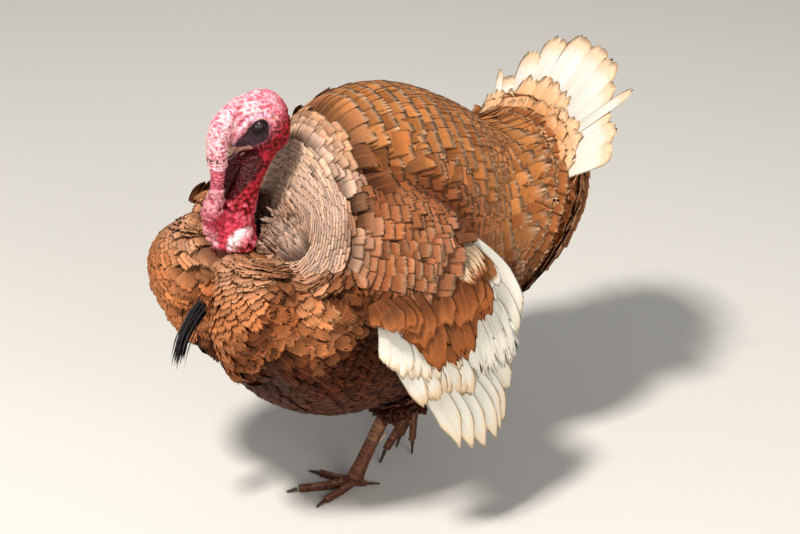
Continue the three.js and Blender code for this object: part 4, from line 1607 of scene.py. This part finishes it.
thigh_batches = []
for side, sign in SIDES:
    centre = middle("thigh_" + side)
    hock_way = unit(np.array([*(middle("shank_" + side) - centre)[:2] * 0.3, -0.06]))
    net = net_over(thigh_trees[side], centre, -hock_way, hock_way, 20, 160, rings=80, spokes=160)
    data = grow(net, sown(net, thigh_sizes), thigh_sizes, stretch=2.2, keep=thigh_keep)
    # The thighs take the belly's chestnut, with its painted shade.
    base = varied(np.tile(BELLY_CHESTNUT_SHADED * 1.15, (len(data["place"]), 1)), 0.15)
    thigh_batches.append(half_patch(body_batch(data, base, base * 1.3, 7, 6), sign))
feather_piece("coat_thighs", thigh_batches, body_feather)

# %% [markdown]
# ## The big feathers
# Flight and tail feathers are long and stiff, with a shaft that shows. They are few, so each row is
# given by its first and last feather, and the ones between are spaced evenly, with small accidents.

# %% Rows of long feathers


def between(stops, count):
    """Points spaced evenly from the first of the given stops to the last."""
    t = np.linspace(0, len(stops) - 1, count)
    return np.stack([np.interp(t, np.arange(len(stops)), np.array(stops)[:, k]) for k in range(3)], axis=1)


def long_row(count, roots, tips, face, width, bow=0.08, sag=0.0, twist=0.0, rounding=0.25, fray=0.05,
             jitter=1.5 * MM, **more):
    """Feathers whose roots and tips run from the first to the last of the given points. face is the
    way their upper side looks, bow how far they arch toward it, and sag how far they curve sideways.
    twist turns them on their shafts, and jitter scatters their tips."""
    root, tip = between(roots, count), between(tips, count)
    tip = tip + rng.normal(0, jitter, (count, 3))
    way = tip - root
    face = np.broadcast_to(np.array(face, float), (count, 3))
    face = unit(face - (face * unit(way)).sum(1, keepdims=True) * unit(way))
    bend = (root + tip) / 2 + face * (bow * lengths(way))[:, None]
    side = np.cross(unit(way), face)
    bend = bend + side * (sag * lengths(way))[:, None]
    turn = np.full(count, twist) + rng.normal(0, 0.03, count)
    side = side * np.cos(turn)[:, None] + face * np.sin(turn)[:, None]
    widths = np.broadcast_to(width, count) * rng.uniform(0.96, 1.04, count)
    batch = vanes(root, bend, tip, side, widths, np.full(count, rounding), np.full(count, fray), **more)
    return batch, 0.05 + 0.9 * np.linspace(0, 1, count)


WHITE, CREAM, BUFF = colour(236, 230, 216), colour(228, 216, 192), colour(206, 164, 112)
COVERT_RUST, TAN_EDGE = colour(150, 86, 46), colour(222, 190, 150)
LONG = dict(columns=13, rows=16, cup=0.07, shaft=0.5 * MM, base=0.45)
COVERT = dict(columns=11, rows=11, cup=0.09, shaft=0.3 * MM, base=0.5)
P_LOW, P_HIGH = low("wing_left_primaries"), high("wing_left_primaries")
WING_FACE = np.array([1.0, -0.12, 0.12])


def wing_points(places, sign):
    """Places on the hanging wing: out from the quills, back from the wing's front, up from its tips."""
    corner = P_LOW * [0, 1, 1] + P_HIGH * [1, 0, 0]
    return [mirrored(corner + np.array(place) * MM, sign) for place in places]


# %% Wings
# Each row: the band it takes of the unwrapped wing, how many feathers, where their roots and their tips
# run, their width in millimetres, their colours at base, tip and rim, their kind, and its own settings.
# The rows run from the longest quills at the bottom to the small coverts at the wrist.
WING_ROWS = (
    (0.1, 6, [(-14, 44, 176), (-14, 104, 184)],
     [(-12, 131, 21), (-14, 157, 5), (-16, 187, 0), (-19, 201, 17), (-22, 213, 26)],
     30, (WHITE, colour(236, 214, 182), BUFF), LONG,
     dict(bow=0.07, sag=-0.11, twist=-0.28, rounding=0.3, pinch=0.7, square=1.5)),
    (0.2, 6, [(-14, 108, 190), (-20, 136, 246), (-40, 158, 302)],
     [(-22, 214, 76), (-20, 214, 118), (-16, 224, 176)],
     np.array([34, 34, 32, 30, 27, 24]), (WHITE, CREAM, CREAM), dict(LONG, base=0.12),
     dict(bow=0.05, sag=-0.12, twist=-0.2, rounding=0.14, pinch=0.5, square=1.8)),
    (0.3, 16, [(-12, 112, 215), (-16, 172, 232)], [(-4, 138, 130), (-6, 176, 106), (-8, 214, 128)],
     17, (WHITE, WHITE, WHITE), COVERT, dict(bow=0.12, sag=-0.05, rounding=0.1, fray=0.5)),
    (0.4, 8, [(-16, 18, 208), (-10, 84, 206)], [(-6, 74, 108), (-2, 104, 112), (-4, 142, 100)],
     25, (WHITE, colour(232, 200, 160), TAN_EDGE), COVERT,
     dict(sag=-0.07, twist=-0.2, rounding=0.2, fray=0.08)),
    (0.5, 8, [(-20, 20, 230), (-20, 34, 230), (-18, 62, 228)],
     [(-8, 22, 176), (-4, 46, 152), (-2, 84, 136), (-2, 118, 142)],
     28, (WHITE, colour(232, 210, 178), TAN_EDGE), COVERT,
     dict(bow=0.14, sag=-0.1, twist=-0.2, rounding=0.26, fray=0.12)),
    (0.6, 9, [(-16, 52, 240), (-16, 100, 248), (-20, 142, 262)],
     [(7, 64, 190), (9, 92, 164), (8, 126, 158), (4, 149, 180), (0, 162, 210)],
     38, (COVERT_RUST, BACK_RUST, BACK_RUST), COVERT,
     dict(bow=0.14, twist=-0.14, rounding=0.28, fray=0.26, jitter=4 * MM)),
    (0.7, 10, [(-22, 10, 262), (-20, 46, 258), (-18, 96, 262), (-22, 136, 284)],
     [(-3, 14, 231), (3, 44, 222), (8, 76, 208), (9, 110, 198), (6, 144, 216)],
     33, (COVERT_RUST, COVERT_RUST * 1.25, COVERT_RUST * 1.25), COVERT,
     dict(bow=0.16, twist=-0.14, rounding=0.3, fray=0.2, jitter=4 * MM)),
    (0.8, 8, [(-32, 116, 280), (-36, 150, 296)], [(3, 142, 226), (-4, 170, 206), (-8, 186, 236)],
     20, (colour(142, 88, 50), WHITE, WHITE), COVERT, dict(bow=0.14, twist=-0.15, rounding=0.22, fray=0.2)),
    (0.9, 6, [(-36, 116, 288), (-40, 146, 304)], [(2, 140, 254), (-7, 164, 262)],
     18, (colour(206, 176, 142), COVERT_RUST, COVERT_RUST), dict(COVERT, base=0.3),
     dict(bow=0.14, twist=-0.15, rounding=0.22, fray=0.2)),
)
FIRST_RUST_BAND = 0.6


def wing_rows(sign):
    """The white rows, and the rust-brown coverts that lie over them."""
    white, rust = [], []
    for band, count, roots, tips, width, colours, kind, own in WING_ROWS:
        is_rust = band >= FIRST_RUST_BAND
        own = dict(own, sag=own.get("sag", 0.0) * sign, twist=own.get("twist", 0.0) * sign)
        face = mirrored(WING_FACE, sign)
        roots, tips = wing_points(roots, sign), wing_points(tips, sign)
        batch, run = long_row(count, roots, tips, face, width * MM, **own, **kind)
        base = varied(np.tile(colours[0], (count, 1)), 0.12 if is_rust else 0.04)
        home = np.stack([run, np.full(count, band)], axis=1)
        # Painted shade toward each root, deeper on the rust rows.
        batch = paint(batch, base, tip=colours[1], rim=colours[2], home=home, painted_root_shade=0.6 if is_rust else 0.2)
        (rust if is_rust else white).append(batch)
    return white, rust


for side, sign in SIDES:
    white, rust = wing_rows(sign)
    quills = feather_piece(f"quills_{side}", white, flight_feather)
    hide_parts(f"wing_{side}_primaries", f"wing_{side}_secondaries")
    feather_piece(f"coverts_{side}", rust, body_feather)

# %% [markdown]
# The tail is a fan of quills with buff ends, its roots hidden under two rows of coverts on each
# side. A living bird never has a perfect fan, so each quill has its own angle, length and width.

# %% Tail
TAIL_ROOT = np.array([0, low("tail")[1] - 48 * MM, low("tail")[2] - 75 * MM])
RAISE = math.radians(50)
TAIL_FACE = np.array([0, -math.sin(RAISE), math.cos(RAISE)])


def fan(feathers, width, colours, band, lift=0.0, behind=False, loose=1.0, **more):
    """A row of the fan. Each feather is its angle from upright in degrees, its length and its width."""
    turns, reach, wide = np.array(feathers, float).T
    n = len(turns)
    turns = np.radians(turns + rng.normal(0, 0.6 * loose, n))
    way = np.stack([np.sin(turns), np.cos(turns) * math.cos(RAISE), np.cos(turns) * math.sin(RAISE)], axis=1)
    length = reach[:, None] * MM * (1 + rng.normal(0, 0.012 * loose, (n, 1)))
    face = TAIL_FACE * (-1 if behind else 1)
    root = TAIL_ROOT + way * 0.12 * length + face * lift * 0.4
    layer = (np.arange(n) % 2) * 1.2 * MM + lift
    tip = TAIL_ROOT + way * length + face * layer[:, None]
    batch, run = long_row(n, list(root), list(tip), face, wide * width * MM, bow=0.02, jitter=0.0, **more)
    base = varied(np.tile(colours[0], (n, 1)), 0.05)
    home = np.stack([run, np.full(n, band)], axis=1)
    # Painted shade toward each root of the fan.
    return paint(batch, base, tip=colours[1], tip_from=0.84, rim=colours[2], home=home, painted_root_shade=0.3)


def even(count, low_turn, high_turn, reach, droop):
    """Evenly spread feathers that grow shorter toward both sides."""
    share = np.linspace(-1, 1, count)
    turns = (low_turn + high_turn) / 2 + share * (high_turn - low_turn) / 2
    return [(turn, reach * (1 - droop * k * k), 1.0) for turn, k in zip(turns, share)]


ORANGE_BUFF = colour(222, 166, 116)
TAIL_WHITE, TAIL_BUFF = colour(226, 220, 208), colour(222, 186, 148)
# Angle, length in millimetres and share of the width. Two are seen on edge, so they look narrow.
WORN_FAN = (
    (-39, 160, 0.85), (-34, 194, 0.3), (-30, 184, 1), (-20, 214, 1.1), (-10.5, 238, 1.15), (-1, 250, 1.2),
    (8, 252, 1.2), (17, 244, 1.15), (24.5, 228, 0.85), (31.5, 243, 0.42), (33, 204, 0.8), (42, 212, 0.9),
    (49, 198, 1),
)
QUILL = dict(LONG, rounding=0.07, fray=0.025, square=3.0, pinch=0.1)
UNDER = dict(COVERT, loose=3, rounding=0.14, fray=0.07, square=3.0, behind=True)
OVER = dict(UNDER, pinch=0.1, behind=False)
# How far the two rows of coverts lie off the quills, before them and behind them.
NEAR_ROW, FAR_ROW = 5 * MM, 11 * MM
quills = [
    fan(WORN_FAN, 40, (TAIL_WHITE, TAIL_BUFF, TAN_EDGE), 0.1, **QUILL),
    fan(even(11, -40, 44, 172, 0.16), 44, (ORANGE_BUFF, TAIL_BUFF, ORANGE_BUFF), 0.3, NEAR_ROW, **OVER),
    fan(even(11, -44, 48, 148, 0.14), 44, (BACK_ORANGE, ORANGE_BUFF, EDGE_TAN), 0.5, FAR_ROW, **OVER),
    fan(even(11, -40, 46, 176, 0.16), 33, (ORANGE_BUFF, TAIL_WHITE, TAIL_WHITE), 0.7, NEAR_ROW, **UNDER),
    fan(even(10, -44, 48, 150, 0.14), 35, (RUMP_BROWN, RUMP_EDGE, EDGE_TAN), 0.9, FAR_ROW, **UNDER),
]
tail = feather_piece("tail_fan", quills, flight_feather)
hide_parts("tail")

# %% [markdown]
# ## Beard, spurs, claws and scutes
# The beard is a tuft of stiff hair-like bristles that hangs from the breast. Spurs and claws keep the
# solid's shape under a subdivision surface. The scutes are small curved plates, laid in a row over
# the front of each shank and along the top of each toe.

# %% Beard
HAIRS = 110
root = np.array([middle("beard")[0] + 2 * MM, high("beard")[1] - 12 * MM, high("beard")[2] - 24 * MM])
end = np.array([middle("beard")[0] - 4 * MM, low("beard")[1] + 18 * MM, low("beard")[2] - 2 * MM])
spread = rng.normal(0, 1, (HAIRS, 3))
roots = root + spread * [4.0 * MM, 1.5 * MM, 4.0 * MM]
shares = rng.uniform(0.72, 1.0, HAIRS)[:, None]
tips = root + (end - root) * shares + spread * [4.5 * MM, 2.5 * MM, 2.0 * MM]
tips = tips + rng.normal(0, 1.5 * MM, (HAIRS, 3))
bends = (roots + tips) / 2 + mm(0, -12, 8) + rng.normal(0, 1.0 * MM, (HAIRS, 3))
flat_side, hair_width = np.tile([1.0, 0.0, 0.0], (HAIRS, 1)), np.full(HAIRS, 2.3 * MM)
hairs = vanes(roots, bends, tips, flat_side, hair_width, np.full(HAIRS, 0.3), np.zeros(HAIRS),
              cup=0.25, base=0.9, columns=3, rows=10)
hair_tint = mix(colour(34, 32, 34), colour(92, 84, 82), rng.random(HAIRS) ** 2)
home = np.stack([rng.random(HAIRS), rng.random(HAIRS)], axis=1) * 0.9 + 0.05
beard = feather_piece("beard_hairs", [paint(hairs, hair_tint, home=home)], bristle)
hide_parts("beard")

# %% Spurs and claws
CLAWS = [f"claw_{side}_{toe}" for side, _ in SIDES for toe in ("inner", "middle", "outer", "hind")]
for name, nodes, tone, slot in (
    ("spurs", ["spur_left", "spur_right"], colour(196, 168, 136), "horn"),
    ("claws", CLAWS, colour(70, 52, 44), "horn"),
):
    piece = copy_of(name, *nodes)
    apply_modifier(piece, "SUBSURF", levels=2, render_levels=2)
    points = points_of(piece)
    wave = 0.5 + 0.5 * np.sin(points[:, 1] / MM * 1.7)
    add_tint(piece, mix(tone, tone * 1.5, wave * 0.5))
    piece.data.materials.append(horn)
    bpy.ops.object.shade_smooth()
    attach(piece, "root")
    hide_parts(*nodes)
    print(name, len(piece.data.polygons), "faces")

# %% Scutes
# How far along a plate each of its four rows of points lies, and how proud of the skin it stands.
PLATE_ROWS = ((0.0, 0.15), (0.25, 1.0), (0.85, 1.25), (1.08, 0.5))
ACROSS = 7
SHEET = ACROSS * len(PLATE_ROWS)


def plate_faces():
    """The faces of one closed plate: an upper and a lower sheet of points, and the strip between."""
    faces = []
    for r in range(len(PLATE_ROWS) - 1):
        for c in range(ACROSS - 1):
            a = r * ACROSS + c
            faces.append((a, a + ACROSS, a + ACROSS + 1, a + 1))
            faces.append((a + SHEET, a + SHEET + 1, a + SHEET + ACROSS + 1, a + SHEET + ACROSS))
    last = SHEET - ACROSS
    rim = [*range(ACROSS), *range(2 * ACROSS - 1, SHEET, ACROSS)]
    rim += [*range(SHEET - 2, last - 1, -1), *range(last - ACROSS, 0, -ACROSS)]
    return np.array(faces + [(a, b, b + SHEET, a + SHEET) for a, b in zip(rim, rim[1:] + rim[:1])])


def scute_row(start, end, count, facing, half_turn, tree, from_out=14 * MM, proud=0.55 * MM):
    """Plates laid over a limb from start to end, each bent round it on the side called facing."""
    start, end = np.array(start), np.array(end)
    way = unit(end - start)
    pitch = np.linalg.norm(end - start) / count
    facing = unit(np.array(facing, float) - np.dot(facing, way) * way)
    across = np.cross(facing, way)
    verts = []
    for k in range(count):
        under = []
        for step, lift in PLATE_ROWS:
            for turn in np.linspace(-half_turn, half_turn, ACROSS):
                at_edge = abs(turn) > half_turn * 0.9
                place = start + way * pitch * (k + step * (0.92 if at_edge else 1))
                out = facing * math.cos(turn) + across * math.sin(turn)
                hit = tree.ray_cast(Vector(place + out * from_out), Vector(-out))[0]
                near = np.array(hit) if hit else place + out * 6 * MM
                verts.append(near + out * proud * lift * (0.3 if at_edge else 1.0))
                under.append(near - out * 0.9 * MM)
        verts += under
    return np.array(verts), repeated(plate_faces(), count, 2 * SHEET)


leg_tree = tree_of(skin)
parts = []
for side, _ in SIDES:
    lo, hi = low("shank_" + side), high("shank_" + side)
    if side == "left":
        ankle, hock = lo + mm(10, 11, 7), hi + mm(-8, -10, -3)
        fronts, toe_face = (0.35, -1.0, 0.1), (0, 0, 1)
    else:
        ankle = np.array([hi[0] - 10 * MM, lo[1] + 12.4 * MM, lo[2] + 4 * MM])
        hock = np.array([lo[0] + 8.5 * MM, hi[1] - 12.4 * MM, hi[2] - 8 * MM])
        fronts, toe_face = (0.1, -1.0, -0.1), (0, -0.6, 0.8)
    parts.append(scute_row(hock, ankle, 17, fronts, 1.15, leg_tree, 22 * MM, 0.7 * MM))
    for toe, plates in (("inner", 8), ("middle", 11), ("outer", 9), ("hind", 4)):
        claw = middle(f"claw_{side}_{toe}")
        toe_start = ankle * [1, 1, 0] + [0, 0, 8 * MM] if side == "left" else ankle
        toe_end = claw + unit(toe_start - claw) * 9 * MM
        begin = toe_start + (toe_end - toe_start) * 0.2
        facing = toe_face if toe != "hind" or side == "left" else (0, 1, 0.3)
        parts.append(scute_row(begin, toe_end, plates, facing, 0.95, leg_tree))
scutes = quads_object("scutes", *stacked(parts), leg_scute)
edit_all(scutes, bpy.ops.mesh.normals_make_consistent, inside=False)
plates = len(scutes.data.vertices) // (2 * SHEET)
speckle = np.repeat(rng.random(plates), 2 * SHEET)
# The scutes' browns, darkened with painted shade as on the legs.
add_tint(scutes, mix(colour(104, 62, 44), colour(142, 98, 70), speckle))
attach(scutes, "root")
print("scutes:", plates, "plates")

# %% [markdown]
# ## Size
# The spans of the solid and of the dressed bird are printed side by side; they may differ a little by
# the softness of the coat. The dressed bird has to stay in the solid's box, give or take the softness
# of its coat.

# %% Sizes
visual_box = [[float(v) for v in corner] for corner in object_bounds()]
for axis in range(3):
    cad_span, span = (box[1][axis] - box[0][axis] for box in (cad_box, visual_box))
    print("xyz"[axis], "solid", round(cad_span, 4), "dressed", round(span, 4))
